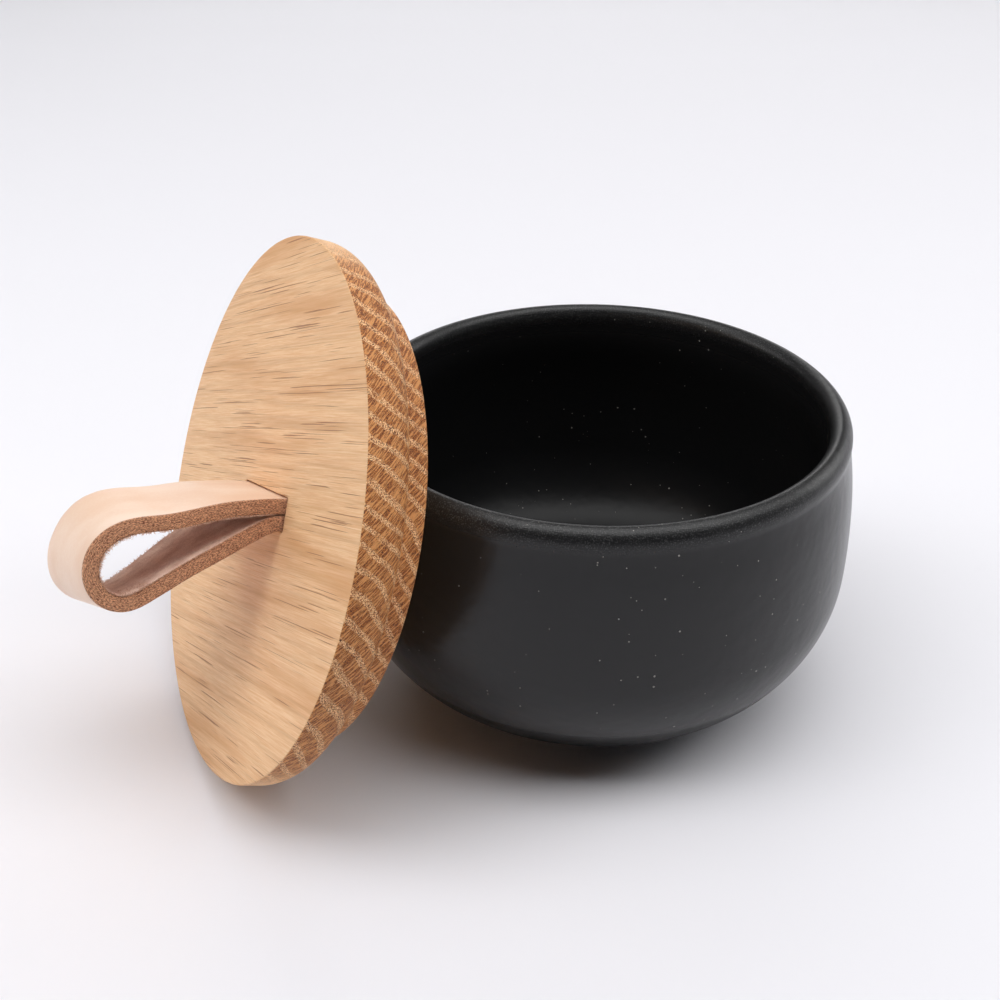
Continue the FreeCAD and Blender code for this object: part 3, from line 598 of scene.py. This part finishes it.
def lay_map(mesh, place):
    """Give each corner of each face its vertex's place on the strip, in mm, over
    the map's unit."""
    vertex = np.zeros(len(mesh.loops), np.int32)
    mesh.loops.foreach_get("vertex_index", vertex)
    layer = mesh.uv_layers.new(name="strip")
    layer.uv.foreach_set("vector", (place[vertex] / MM_PER_UV).astype(np.float32).ravel())


side_of_column = np.full(columns, EDGE)
side_of_column[:BROAD_CELLS] = GRAIN
flesh_start = BROAD_CELLS + EDGE_CELLS
side_of_column[flesh_start:flesh_start + BROAD_CELLS] = FLESH
side = np.append(np.tile(side_of_column, STRAP_ROWS - 1), [EDGE, EDGE])
strap.data.polygons.foreach_set("material_index", side.astype(np.int32))

girth = length_so_far(section)
lay_map(strap.data, np.column_stack([np.repeat(near_length, columns),
                                     np.tile(girth, STRAP_ROWS)]))
print("faces a side:", np.bincount(side))

# %% [markdown]
# Where the strip was cut, loose fibres of the hide stand out along the edges of
# the flesh side, and a patch of nap is rubbed up inside the fold. Hair curves
# could be used, but the part is kept as plain meshes, so each fibre is a thin
# four-sided spike that tapers and curls. All are worked out together.

# %% Fibres of the hide
FIBRE_RINGS, FIBRE_SIDES = 5, 4
FIBRE_MM, FIBRE_TAPER, FIBRE_SUNK = 0.09, 0.85, 0.12
FIBRE_LEAN, FIBRE_SLANT, FIBRE_SPLAY, FIBRE_CURL, FIBRE_BOW = 0.8, 0.35, 0.45, 0.5, 0.25
SHORTEST_SHARE, LENGTH_POWER = 0.35, 1.5
EDGE_ROOM, SPLAY_ROOM, MAP_ROOM, NAP_INSET = 0.05, 1, 40, 4
MM_PER_ROW = near_length[-1] / (STRAP_ROWS - 1)
HALF_STRAP = STRAP_WIDTH / 2
PATCHES = [  # count, from and to along the strip, across, scatter, longest, in mm
    (700, 17, 100, HALF_STRAP, 0.12, 0.6),
    (300, 46, 76, HALF_STRAP, 0.15, 0.9),
    (400, 17, 100, -HALF_STRAP, 0.15, 0.7),
    (420, 55, 74, HALF_STRAP - NAP_INSET, 2.2, 0.8),
]


def fibre_seeds(count, first, last, across, scatter, length):
    """Random roots between two places along the strip, in mm, with leans and
    lengths. Columns: along, across, lean along, lean across, length."""
    place = np.clip(across + scatter * rng.normal(0, 1, count),
                    -HALF_STRAP + EDGE_ROOM, HALF_STRAP - EDGE_ROOM)
    splay = np.sign(place) * (np.abs(place) > HALF_STRAP - SPLAY_ROOM)
    return np.column_stack([
        rng.uniform(first, last, count), place, rng.normal(0, FIBRE_LEAN, count),
        rng.normal(0, FIBRE_SLANT, count) + FIBRE_SPLAY * splay,
        length * rng.uniform(SHORTEST_SHARE, 1.0, count) ** LENGTH_POWER])


def fibre_surface(seeds):
    """The spine starts inside the leather and runs out along its lean, which
    turns with the square of the way. The four sides shrink to a point."""
    way = np.linspace(0, 1, FIBRE_RINGS)[None, :, None]
    side = np.arange(FIBRE_SIDES) * 2 * np.pi / FIBRE_SIDES
    root, place, lean, slant, length = (seeds[:, k, None, None] for k in range(5))
    curl = rng.normal(0, FIBRE_CURL, (len(seeds), 1, 1))
    thick = FIBRE_MM * (1 - FIBRE_TAPER * way)
    along = root + length * (lean * way + curl * way ** 2) + thick * np.cos(side)
    across = place + length * (slant * way - curl * way ** 2 / 2) + thick * np.sin(side)
    inward = LEATHER / 2 - FIBRE_SUNK + length * (way - FIBRE_BOW * way ** 2) + 0 * side
    return strap_place(along / MM_PER_ROW, across, inward)


seeds = np.concatenate([fibre_seeds(*patch) for patch in PATCHES])
spikes = fibre_surface(seeds)
fibre_points = FIBRE_SIDES * FIBRE_RINGS
corners = np.arange(FIBRE_SIDES)
caps = np.array([corners[::-1], corners + fibre_points - FIBRE_SIDES])
one_fibre = np.concatenate([grid_faces(FIBRE_RINGS, FIBRE_SIDES, False, True), caps])
offsets = fibre_points * np.arange(len(seeds))[:, None, None]
fibres = make_piece("strap_fibres", spikes, (one_fibre + offsets).reshape(-1, FIBRE_SIDES))
roots = np.column_stack([seeds[:, 0], rng.uniform(0, MAP_ROOM, len(seeds))])
lay_map(fibres.data, np.repeat(roots, fibre_points, axis=0))
print("fibres:", len(seeds), "faces:", len(fibres.data.polygons))

# %% [markdown]
# ## Materials
#
# Colours are picked as sRGB hex values and turned to linear by one function.
# Another small function adds a node, gives it its settings and links it. Where
# a node has several inputs of one name they are called by number: a Map Range
# node takes the value as 0 and its range as 1 and 2, and a Mix node the share as
# 0 and the colours as 6 and 7. The last two functions put nodes together: a sum
# of weighted values, which makes the relief and the roughness, and coats of
# colour, each laid over the ones below.

# %% Colour and node helpers
SMOOTH = {"interpolation_type": "SMOOTHSTEP"}  # a Map Range node that eases from 0 to 1


def linear(code):
    """sRGB hex to linear: c/12.92 below 0.04045, else ((c + 0.055)/1.055)^2.4."""
    values = [int(code[k:k + 2], 16) / 255 for k in (0, 2, 4)]
    return [c / 12.92 if c <= 0.04045 else ((c + 0.055) / 1.055) ** 2.4 for c in values] + [1]


def add_node(tree, kind, inputs=None, out=0, **settings):
    """Add a node. Settings go on the node, and each input gets a value or a
    link. Returns the output called out, or all outputs where out is None."""
    node = tree.nodes.new("ShaderNode" + kind)
    for name, value in settings.items():
        setattr(node, name, value)
    for name, value in (inputs or {}).items():
        if isinstance(value, bpy.types.NodeSocket):
            tree.links.new(value, node.inputs[name])
        else:
            node.inputs[name].default_value = value
    return node.outputs if out is None else node.outputs[out]


def new_material(name):
    """An empty material, and add_node for its tree."""
    material = bpy.data.materials.new(name)
    material.use_nodes = True
    material.node_tree.nodes.clear()
    return material, partial(add_node, material.node_tree)


def weighted_sum(add, start, *terms):
    """Start plus each value times its weight."""
    for value, weight in terms:
        start = add("Math", {0: value, 1: weight, 2: start}, operation="MULTIPLY_ADD")
    return start


def coated(add, colour, *coats):
    """Lay coats over a colour. Each hides what is below by its share times its
    strength."""
    for share, strength, code in coats:
        cover = add("Math", {0: share, 1: strength}, operation="MULTIPLY")
        colour = add("Mix", {0: cover, 6: colour, 7: linear(code)}, out=2, data_type="RGBA")
    return colour


# %% [markdown]
# ### Satin black glaze on stoneware
#
# An iron-rich glaze fires to a soft black. Nearly all that is seen of it is what
# it mirrors. The wall has slow waves and small pits, and pale specks of ash in
# loose groups. Towards the lip the glaze runs thin and shows the grain of the
# clay, so the relief and the sparkle grow there with height. The inside is
# duller than the outside and has fewer specks.

# %% Marks in the glaze
THIN_GLAZE_FROM, THIN_GLAZE_TO = 0.0645, 0.0675
INSIDE_RADIUS, INSIDE_HEIGHT = (0.0550, 0.0535), (0.0640, 0.0610)
SPECK_CELLS_PER_M, GROUPS_PER_M = 900.0, 22.0
GROUP_FROM, GROUP_TO = 0.40, 0.62
SPECK_START, GROUP_GAIN, INSIDE_LOSS = -0.86, 0.09, -0.03
SPECK_EDGE, PIT_SHARE = 0.02, 0.3


def glaze_regions(add, place):
    """1 where the glaze is thin, by height, and 1 on the inside, by the distance
    from the axis and the height. Both fade over a millimetre or so."""
    axes = add("SeparateXYZ", {0: place}, out=None)
    thin = add("MapRange", {0: axes[2], 1: THIN_GLAZE_FROM, 2: THIN_GLAZE_TO}, **SMOOTH)
    level = add("CombineXYZ", {0: axes[0], 1: axes[1]})
    radius = add("VectorMath", {0: level}, out="Value", operation="LENGTH")
    near_axis = add("MapRange", {0: radius, 1: INSIDE_RADIUS[0], 2: INSIDE_RADIUS[1]}, **SMOOTH)
    below_lip = add("MapRange", {0: axes[2], 1: INSIDE_HEIGHT[0], 2: INSIDE_HEIGHT[1]}, **SMOOTH)
    return thin, add("Math", {0: near_axis, 1: below_lip}, operation="MULTIPLY")


def glaze_spots(add, place, within):
    """Specks and pits up to 0.25 mm in radius, in some of the cells of 1.1 mm. A
    cell's random colour gives the spot's size and says if it is ash or a pit."""
    cells = add("TexVoronoi", {"Vector": place, "Scale": SPECK_CELLS_PER_M}, out=None,
                feature="F1")
    picked = add("SeparateXYZ", {0: cells["Color"]}, out=None)
    groups = add("TexNoise", {"Vector": place, "Scale": GROUPS_PER_M})
    grouped = add("MapRange", {0: groups, 1: GROUP_FROM, 2: GROUP_TO}, **SMOOTH)
    size = weighted_sum(add, SPECK_START, (picked[0], 1.0), (grouped, GROUP_GAIN),
                        (within, INSIDE_LOSS))
    depth = add("Math", {0: size, 1: cells["Distance"]}, operation="SUBTRACT")
    spot = add("MapRange", {0: depth, 1: 0.0, 2: SPECK_EDGE}, **SMOOTH)
    return spot, add("Math", {0: picked[1], 1: PIT_SHARE}, operation="GREATER_THAN")


# %% [markdown]
# A glaze is a glass, with an IOR near 1.5. Here it is 1.41, matched to the dim
# reflections of the photo. Its satin look comes from fine crystals in its skin:
# a roughness of about 0.25 outside and 0.35 inside, and a faint relief of grain
# and swells.

# %% Glaze
GRAIN_PER_M, SWELLS_PER_M, CLOUDS_PER_M = 3600.0, 300.0, 40.0
GLINT_FROM, GLINT_TO = 0.50, 0.72
COVERED_GRAIN, BARE_GRAIN, SWELL, PIT, ASH = 0.07, 1.0, 1.2, -0.8, 0.8
GLAZE_IOR, MIRRORED, INSIDE_DIMS = 1.41, 0.5, -0.28
GLAZE_ROUGHNESS, CLOUDS_ROUGHEN, INSIDE_ROUGHENS, THIN_ROUGHENS = 0.22, 0.06, 0.10, 0.05
RELIEF_STRENGTH, RELIEF_M = 0.7, 0.0001


def make_glaze():
    """Clay grain of 0.3 mm, swells of 3 mm and slow clouds of 25 mm, with the
    spots on top."""
    material, add = new_material("satin_black_stoneware_glaze")
    place = add("TexCoord", out="Object")
    thin, within = glaze_regions(add, place)
    spot, is_ash = glaze_spots(add, place, within)
    ash = add("Math", {0: spot, 1: is_ash}, operation="MULTIPLY")
    grain = add("TexNoise", {"Vector": place, "Scale": GRAIN_PER_M, "Detail": 2.0,
                             "Roughness": 0.6})
    clouds = add("TexNoise", {"Vector": place, "Scale": CLOUDS_PER_M, "Detail": 3.0})
    swells = add("TexNoise", {"Vector": place, "Scale": SWELLS_PER_M, "Detail": 1.0})
    glint = add("MapRange", {0: grain, 1: GLINT_FROM, 2: GLINT_TO}, **SMOOTH)
    sparkle = add("Math", {0: glint, 1: thin}, operation="MULTIPLY")
    colour = coated(add, linear("151516"), (clouds, 1.0, "19191a"), (sparkle, 0.6, "5a5a5a"),
                    (ash, 0.7, "a9a6a0"))

    grain_depth = weighted_sum(add, COVERED_GRAIN, (thin, BARE_GRAIN - COVERED_GRAIN))
    spot_depth = weighted_sum(add, PIT, (is_ash, ASH - PIT))
    relief = weighted_sum(add, 0.0, (grain, grain_depth), (swells, SWELL), (spot, spot_depth))
    bump = add("Bump", {"Height": relief, "Strength": RELIEF_STRENGTH, "Distance": RELIEF_M})
    roughness = weighted_sum(add, GLAZE_ROUGHNESS, (clouds, CLOUDS_ROUGHEN),
                             (within, INSIDE_ROUGHENS), (thin, THIN_ROUGHENS))
    mirrored = weighted_sum(add, MIRRORED, (within, INSIDE_DIMS))
    shader = add("BsdfPrincipled", {
        "Base Color": colour, "Roughness": roughness, "IOR": GLAZE_IOR,
        "Specular IOR Level": mirrored, "Normal": bump})
    add("OutputMaterial", {"Surface": shader}, out=None)
    return material


glaze = make_glaze()
print("made", glaze.name)

# %% [markdown]
# ### Bare stoneware
#
# The foot ring is wiped clean before firing, or it would stick to the kiln
# shelf. The bare clay is a warm grey-brown, dry and finely sandy. The sand is
# drawn at 0.6 mm, coarser than real clay's, so that it shows.

# %% Bare clay
SAND_PER_M, SAND_RELIEF_M = 1600.0, 0.0003
WIPED_HEIGHT, WIPED_BEYOND = 1.0, 0.5


def make_clay():
    """One noise is both the colour's share and the relief."""
    material, add = new_material("bare_fired_stoneware")
    sand = add("TexNoise", {"Vector": add("TexCoord", out="Object"), "Scale": SAND_PER_M,
                            "Detail": 4.0})
    colour = coated(add, linear("6b5646"), (sand, 1.0, "9a8470"))
    bump = add("Bump", {"Height": sand, "Strength": 0.5, "Distance": SAND_RELIEF_M})
    shader = add("BsdfPrincipled", {"Base Color": colour, "Roughness": 0.9, "Normal": bump})
    add("OutputMaterial", {"Surface": shader}, out=None)
    return material


clay = make_clay()
crock.data.materials.append(glaze)
crock.data.materials.append(clay)
centres = np.zeros(len(crock.data.polygons) * 3)
crock.data.polygons.foreach_get("center", centres)
centres = centres.reshape(-1, 3)
ring = np.hypot(centres[:, 0], centres[:, 1])
bare = ((centres[:, 2] < WIPED_HEIGHT * MM)
        & (ring > (FOOT_RADIUS - FOOT_WIDTH - WIPED_BEYOND) * MM))
crock.data.polygons.foreach_set("material_index", bare.astype(np.int32))
print("bare faces:", bare.sum())

# %% [markdown]
# ### Oiled oak
#
# Wood is a solid, so its pattern is worked out in three directions: along the
# fibre, across the rings and along them. The same rings then show as long
# streaks on the face and as close bands on the end grain, as in a real board.
# The rings spread a very little from one end of the board to the other. They are
# about 3 mm apart, and a third of each is a band of open pores. Pores are some
# 0.2 mm wide and a centimetre long, and the pale rays are thin plates that stand
# across the rings.

# %% Directions of the wood
GRAIN_ANGLE = math.radians(5.2)
RAY_LEAN = math.atan2(0.61, 0.793)
RING_MM, PITH_MM = 3.3, 170.0
FAN_PER_MM = -0.0004
FIBRE = math.cos(GRAIN_ANGLE) * ALONG + math.sin(GRAIN_ANGLE) * UP
FACE_ACROSS = np.cross(OUT, FIBRE)
RADIAL = math.cos(RAY_LEAN) * FACE_ACROSS - math.sin(RAY_LEAN) * OUT
TANGENT = np.cross(RADIAL, FIBRE)


def grain_place(add):
    """Object coordinates turned into fibre, tangent and radial distances in mm.
    The last two are multiplied by one plus the fan's share times the first."""
    turn = Matrix([FIBRE, TANGENT, RADIAL])
    place = add("Mapping", {
        "Vector": add("TexCoord", out="Object"), "Location": -(turn @ Vector(LID_CENTRE)) / MM,
        "Rotation": turn.to_euler("XYZ"), "Scale": (1 / MM, 1 / MM, 1 / MM)})
    axes = add("SeparateXYZ", {0: place}, out=None)
    fan = weighted_sum(add, 1.0, (axes[0], FAN_PER_MM))
    spread_axes = [add("Math", {0: axes[k], 1: fan}, operation="MULTIPLY") for k in (1, 2)]
    return add("CombineXYZ", {0: axes[0], 1: spread_axes[0], 2: spread_axes[1]})


# %% [markdown]
# All of the wood's patterns are one noise, stretched differently. The table gives
# for each how many waves it has to the millimetre along the fibre, along the
# rings and across them. A small first number makes long streaks.

# %% Patterns of the wood
WOOD_PATTERNS = {  # waves per mm along fibre, tangent and radius; detail; roughness
    "ring_bend": ((0.014, 0.035, 0.035), 2.0, 0.5),
    "ring_fray": ((0.4, 2.2, 2.2), 2.0, 0.5),
    "broad_waves": ((0.012, 0.16, 0.16), 3.0, 0.6),
    "streaks": ((0.016, 0.75, 0.75), 3.0, 0.5),
    "fine_fibre": ((0.10, 5.5, 5.5), 3.0, 0.7),
    "pore_crowd": ((0.035, 0.5, 0.5), 1.0, 0.5),
    "face_pores": ((0.036, 3.7, 3.7), 1.0, 0.5),
    "end_speckle": ((1.2, 4.6, 4.6), 2.0, 0.9),
    "rays": ((0.35, 3.8, 0.30), 2.0, 0.7),
    "end_pores": ((0.12, 4.0, 4.0), 1.0, 0.5),
    "band_breaks": ((0.05, 0.5, 0.5), 3.0, 0.7),
    "beech_flecks": ((3.0, 0.3, 3.0), 2.0, 0.5),
}
BEND_MM, FRAY_MM = 12.0, 0.7
BAND_START, BAND_END = (0.60, 0.68), (1.0, 0.94)  # parts of a ring


def wood_pattern(add, place, name):
    """Noise at the place times the pattern's waves per mm."""
    waves, detail, roughness = WOOD_PATTERNS[name]
    stretched = add("VectorMath", {0: place, 1: waves}, operation="MULTIPLY")
    return add("TexNoise", {"Vector": stretched, "Scale": 1.0, "Detail": detail,
                            "Roughness": roughness})


def ring_band(add, place):
    """1 in the porous third of each ring and 0 in the rest, by the distance from
    the pith. Slow waves bend the rings, and a fine noise frays the bands."""
    axes = add("SeparateXYZ", {0: place}, out=None)
    from_pith = add("Math", {0: axes[2], 1: PITH_MM}, operation="ADD")
    across = add("CombineXYZ", {1: axes[1], 2: from_pith})
    radius = add("VectorMath", {0: across}, out="Value", operation="LENGTH")
    radius = weighted_sum(add, radius, (wood_pattern(add, place, "ring_bend"), BEND_MM),
                          (wood_pattern(add, place, "ring_fray"), FRAY_MM))
    rings = add("Math", {0: radius, 1: RING_MM}, operation="DIVIDE")
    phase = add("Math", {0: rings}, operation="FRACT")
    start = add("MapRange", {0: phase, 1: BAND_START[0], 2: BAND_START[1]}, **SMOOTH)
    end = add("MapRange", {0: phase, 1: BAND_END[0], 2: BAND_END[1]}, **SMOOTH)
    return add("Math", {0: start, 1: end}, operation="MULTIPLY")


# %% [markdown]
# On the face the fibres lie in the surface: pale wood with broad orange waves,
# narrow streaks and fine fibre, and pores as short dark dashes in loose crowds.
# On the end they stand upright: brown late wood with thin pale rays, and bands
# of pale dust round dark pores. The surface normal says which of the two shows.

# %% Face and end grain
PORE_LEVEL, CROWD_LOWERS, PORE_EDGE = 0.832, -0.32, 0.05
END_PORE_DENT = -1.5
END_FROM, END_TO = 0.25, 0.6


def face_grain(add, place, band):
    """The face's colour, and 1 in its pores, where the pore noise is above a
    level that falls where pores crowd."""
    waves, streaks, fibre = (wood_pattern(add, place, name)
                             for name in ("broad_waves", "streaks", "fine_fibre"))
    waves = add("MapRange", {0: waves, 1: 0.48, 2: 0.70}, **SMOOTH)
    streaks = add("MapRange", {0: streaks, 1: 0.50, 2: 0.74}, **SMOOTH)
    fibre = add("MapRange", {0: fibre, 1: 0.30, 2: 0.70}, **SMOOTH)
    level = weighted_sum(add, PORE_LEVEL,
                         (wood_pattern(add, place, "pore_crowd"), CROWD_LOWERS))
    above = add("Math", {0: wood_pattern(add, place, "face_pores"), 1: level},
                operation="SUBTRACT")
    pore = add("MapRange", {0: above, 1: 0.0, 2: PORE_EDGE}, **SMOOTH)
    colour = coated(add, linear("e4b07d"), (fibre, 1.0, "f4cda1"), (band, 0.14, "c99a68"),
                    (waves, 0.60, "cf935c"), (streaks, 0.32, "b97f4e"), (pore, 0.70, "8f4a16"))
    return colour, pore


def end_grain(add, place, band):
    """The end grain's colour, and its relief: the speckle less the pores."""
    speckle, rays, pores, breaks = (
        wood_pattern(add, place, name)
        for name in ("end_speckle", "rays", "end_pores", "band_breaks"))
    dust = add("MapRange", {0: speckle, 1: 0.42, 2: 0.58}, **SMOOTH)
    ray = add("MapRange", {0: rays, 1: 0.47, 2: 0.56}, **SMOOTH)
    pore = add("MapRange", {0: pores, 1: 0.58, 2: 0.63}, **SMOOTH)
    unbroken = add("MapRange", {0: breaks, 1: 0.26, 2: 0.50}, **SMOOTH)
    late = coated(add, linear("562203"), (dust, 1.0, "b86c2a"), (ray, 0.75, "e6a260"))
    early = coated(add, linear("a85c22"), (dust, 1.0, "ffd29c"), (pore, 1.0, "54260a"))
    band = add("Math", {0: band, 1: unbroken}, operation="MULTIPLY")
    colour = add("Mix", {0: band, 6: late, 7: early}, out=2, data_type="RGBA")
    return colour, weighted_sum(add, speckle, (pores, END_PORE_DENT))


def end_share(add):
    """How much a place shows end grain: the fibre's share of the surface normal."""
    normal = add("TexCoord", out="Normal")
    facing = add("VectorMath", {0: normal, 1: FIBRE}, out="Value", operation="DOT_PRODUCT")
    facing = add("Math", {0: facing}, operation="ABSOLUTE")
    return add("MapRange", {0: facing, 1: END_FROM, 2: END_TO}, **SMOOTH)


# %% [markdown]
# Face and end grain share one relief: pores are dents, and the turned ends are
# rough. Oil soaks in and leaves no film, so the wood is only faintly glossy.

# %% Oak
OAK_IOR, OAK_ROUGHNESS, OAK_RELIEF_M = 1.45, 0.55, 0.0002


def make_oak():
    """Face and end grain mixed by the end's share. Pores are dents."""
    material, add = new_material("oiled_turned_oak")
    place = grain_place(add)
    band = ring_band(add, place)
    face, pore = face_grain(add, place, band)
    end, rough = end_grain(add, place, band)
    share = end_share(add)
    colour = add("Mix", {0: share, 6: face, 7: end}, out=2, data_type="RGBA")
    end_relief = add("Math", {0: rough, 1: share}, operation="MULTIPLY")
    relief = add("Math", {0: end_relief, 1: pore}, operation="SUBTRACT")
    bump = add("Bump", {"Height": relief, "Strength": 0.6, "Distance": OAK_RELIEF_M})
    shader = add("BsdfPrincipled", {
        "Base Color": colour, "Roughness": OAK_ROUGHNESS, "IOR": OAK_IOR, "Normal": bump})
    add("OutputMaterial", {"Surface": shader}, out=None)
    return material


oak = make_oak()
lid.data.materials.append(oak)
print("made", oak.name)

# %% [markdown]
# ### Leather
#
# Vegetable tanned leather, left undyed. The grain side is smooth and pale, with
# fine wrinkles where it bends. The flesh side is a soft brown nap. The cut
# edges show the fibres of the hide, dark brown and rough, with paler ends. One
# recipe makes all of them from two noises, with other numbers for each.

# %% Leather
LEATHER_RELIEF_M = 0.0004
LEATHERS = {  # dark, light, broad and fine waves per mm, fine share, roughness, relief, sheen
    "undyed_leather_grain_side": (
        "eac6ab", "f4dac6", (0.05, 0.06, 1), (1.6, 1.8, 1), 0.25, 0.45, 0.06, 0.0),
    "undyed_leather_cut_edge": (
        "6e2c0e", "ffc296", (0.5, 1.5, 1), (2.2, 5.5, 1), 0.85, 0.95, 1.0, 0.2),
    "undyed_leather_flesh_side": (
        "d0a086", "fadac6", (0.25, 0.25, 1), (2.6, 2.6, 1), 0.5, 0.95, 0.8, 0.3),
    "torn_leather_fibres": (
        "b07048", "f4d3bc", (0.5, 1.5, 1), (1.8, 4.5, 1), 0.8, 0.95, 0.0, 0.2),
}


def make_leather(name):
    """A broad noise and a fine one, on the strip's own map, choose between a dark
    and a light colour. The fine one is also the relief."""
    dark, light, broad_waves, fine_waves, fine_share, roughness, strength, sheen = LEATHERS[name]
    material, add = new_material(name)
    strip = add("UVMap", uv_map="strip")
    noises = []
    for waves, detail, breaking in ((broad_waves, 3.0, 0.5), (fine_waves, 5.0, 0.65)):
        place = add("VectorMath", {0: strip, 1: [MM_PER_UV * value for value in waves]},
                    operation="MULTIPLY")
        noises.append(add("TexNoise", {"Vector": place, "Scale": 1.0, "Detail": detail,
                                       "Roughness": breaking}))
    broad, fine = noises
    both = weighted_sum(add, 0.0, (broad, 1 - fine_share), (fine, fine_share))
    share = add("MapRange", {0: both, 1: 0.36, 2: 0.64}, **SMOOTH)
    colour = coated(add, linear(dark), (share, 1.0, light))
    bump = add("Bump", {"Height": fine, "Strength": strength, "Distance": LEATHER_RELIEF_M})
    shader = add("BsdfPrincipled", {
        "Base Color": colour, "Roughness": roughness, "Normal": bump, "Sheen Weight": sheen})
    add("OutputMaterial", {"Surface": shader}, out=None)
    return material


*leather_sides, torn_fibres = [make_leather(name) for name in LEATHERS]
for leather in leather_sides:
    strap.data.materials.append(leather)
fibres.data.materials.append(torn_fibres)
print("made", list(LEATHERS))

# %% [markdown]
# ### Peg
#
# The peg keeps the shape that the solid gives it. It is a plain beech dowel,
# pale, with small darker flecks.

# %% Beech
def make_beech():
    """One noise, drawn out across the lid's fibre, chooses between two browns."""
    material, add = new_material("plain_beech_dowel")
    flecks = wood_pattern(add, grain_place(add), "beech_flecks")
    share = add("MapRange", {0: flecks, 1: 0.35, 2: 0.7}, **SMOOTH)
    colour = coated(add, linear("b98a5f"), (share, 1.0, "d8b088"))
    shader = add("BsdfPrincipled", {"Base Color": colour, "Roughness": 0.6})
    add("OutputMaterial", {"Surface": shader}, out=None)
    return material


beech = make_beech()
peg = frame["nodes"]["strap_peg"]
peg.data.materials.clear()
peg.data.materials.append(beech)
print("made", beech.name)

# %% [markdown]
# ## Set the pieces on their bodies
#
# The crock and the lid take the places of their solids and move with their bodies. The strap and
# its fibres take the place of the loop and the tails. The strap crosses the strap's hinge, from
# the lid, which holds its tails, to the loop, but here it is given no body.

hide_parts("crock")
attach(crock, "crock")
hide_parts("lid")
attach(lid, "lid")
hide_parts("strap_loop", "strap_tails")
for piece in (strap, fibres):
    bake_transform(piece)
print("pieces set on their bodies")

# %% [markdown]
# ## Table and light
#
# The table is a pale sheet of paper, 2.2 m wide. A plane without an end would
# be simpler, but the glaze has to mirror the room's pale wall just above it.

# %% Table
TABLE_HALF = 1.1


def make_paper():
    """One pale colour with hardly any gloss."""
    material, add = new_material("pale_table_paper")
    shader = add("BsdfPrincipled", {
        "Base Color": linear("edecf1"), "Roughness": 0.9, "Specular IOR Level": 0.2})
    add("OutputMaterial", {"Surface": shader}, out=None)
    return material


sheet = np.array([(-1, -1, 0), (1, -1, 0), (1, 1, 0), (-1, 1, 0)]) * TABLE_HALF
table = make_piece("table", sheet, np.array([[0, 1, 2, 3]]))
table.data.materials.append(make_paper())
print("table ready")

# %% [markdown]
# One long soft box hangs above the front of the table, so the shadow under the
# crock is soft and close, and two weaker ones hang above the middle and the
# back. A panel on the left lights the face of the lid, and two more behind and
# on the right pick out the lip and the right side.

# %% Lamps
LAMPS = {  # place and aim in metres, width and depth in metres, power in watts
    "box_above_front": ((0, -0.22, 1.0), (0, -0.22, 0), 2.4, 0.48, 14.2),
    "box_above_middle": ((0, 0.14, 1.0), (0, 0.14, 0), 2.4, 0.24, 2.0),
    "box_above_back": ((0, 0.80, 1.0), (0, 0.80, 0), 2.2, 0.40, 2.8),
    "panel_behind": ((0, 1.2, 0.62), (0, 0, 0), 1.2, 0.24, 4.2),
    "panel_left": ((-1.2, 0, 0.4), (0, 0, 0.05), 0.7, 0.4, 3.0),
    "panel_right": ((1.2, 0.5, 0.5), (0, 0, 0), 0.6, 0.5, 3.8),
}

for name, (place, aim, width, depth, power) in LAMPS.items():
    light = bpy.data.lights.new(name, "AREA")
    light.shape, light.size, light.size_y, light.energy = "RECTANGLE", width, depth, power
    lamp = bpy.data.objects.new(name, light)
    lamp.location = place
    lamp.rotation_euler = (Vector(aim) - Vector(place)).to_track_quat("-Z", "Y").to_euler()
    bpy.context.collection.objects.link(lamp)
print("lamps:", len(LAMPS))

# %% [markdown]
# The room is dark above and has a low pale wall all round, which the glaze
# mirrors along its sides. The height of a direction over the horizon mixes the
# two colours.

# %% Room
WALL_TOP, DARK_FROM = 0.05, 0.16

world = bpy.data.worlds.new("room")
world.use_nodes = True
room = world.node_tree
add = partial(add_node, room)
rise = add("SeparateXYZ", {0: add("TexCoord", out="Generated")}, out=2)
dark = add("MapRange", {0: rise, 1: WALL_TOP, 2: DARK_FROM}, **SMOOTH)
walls = coated(add, linear("c4c4c8"), (dark, 1.0, "141414"))
room.links.new(walls, room.nodes["Background"].inputs["Color"])
bpy.context.scene.world = world
print("room ready")
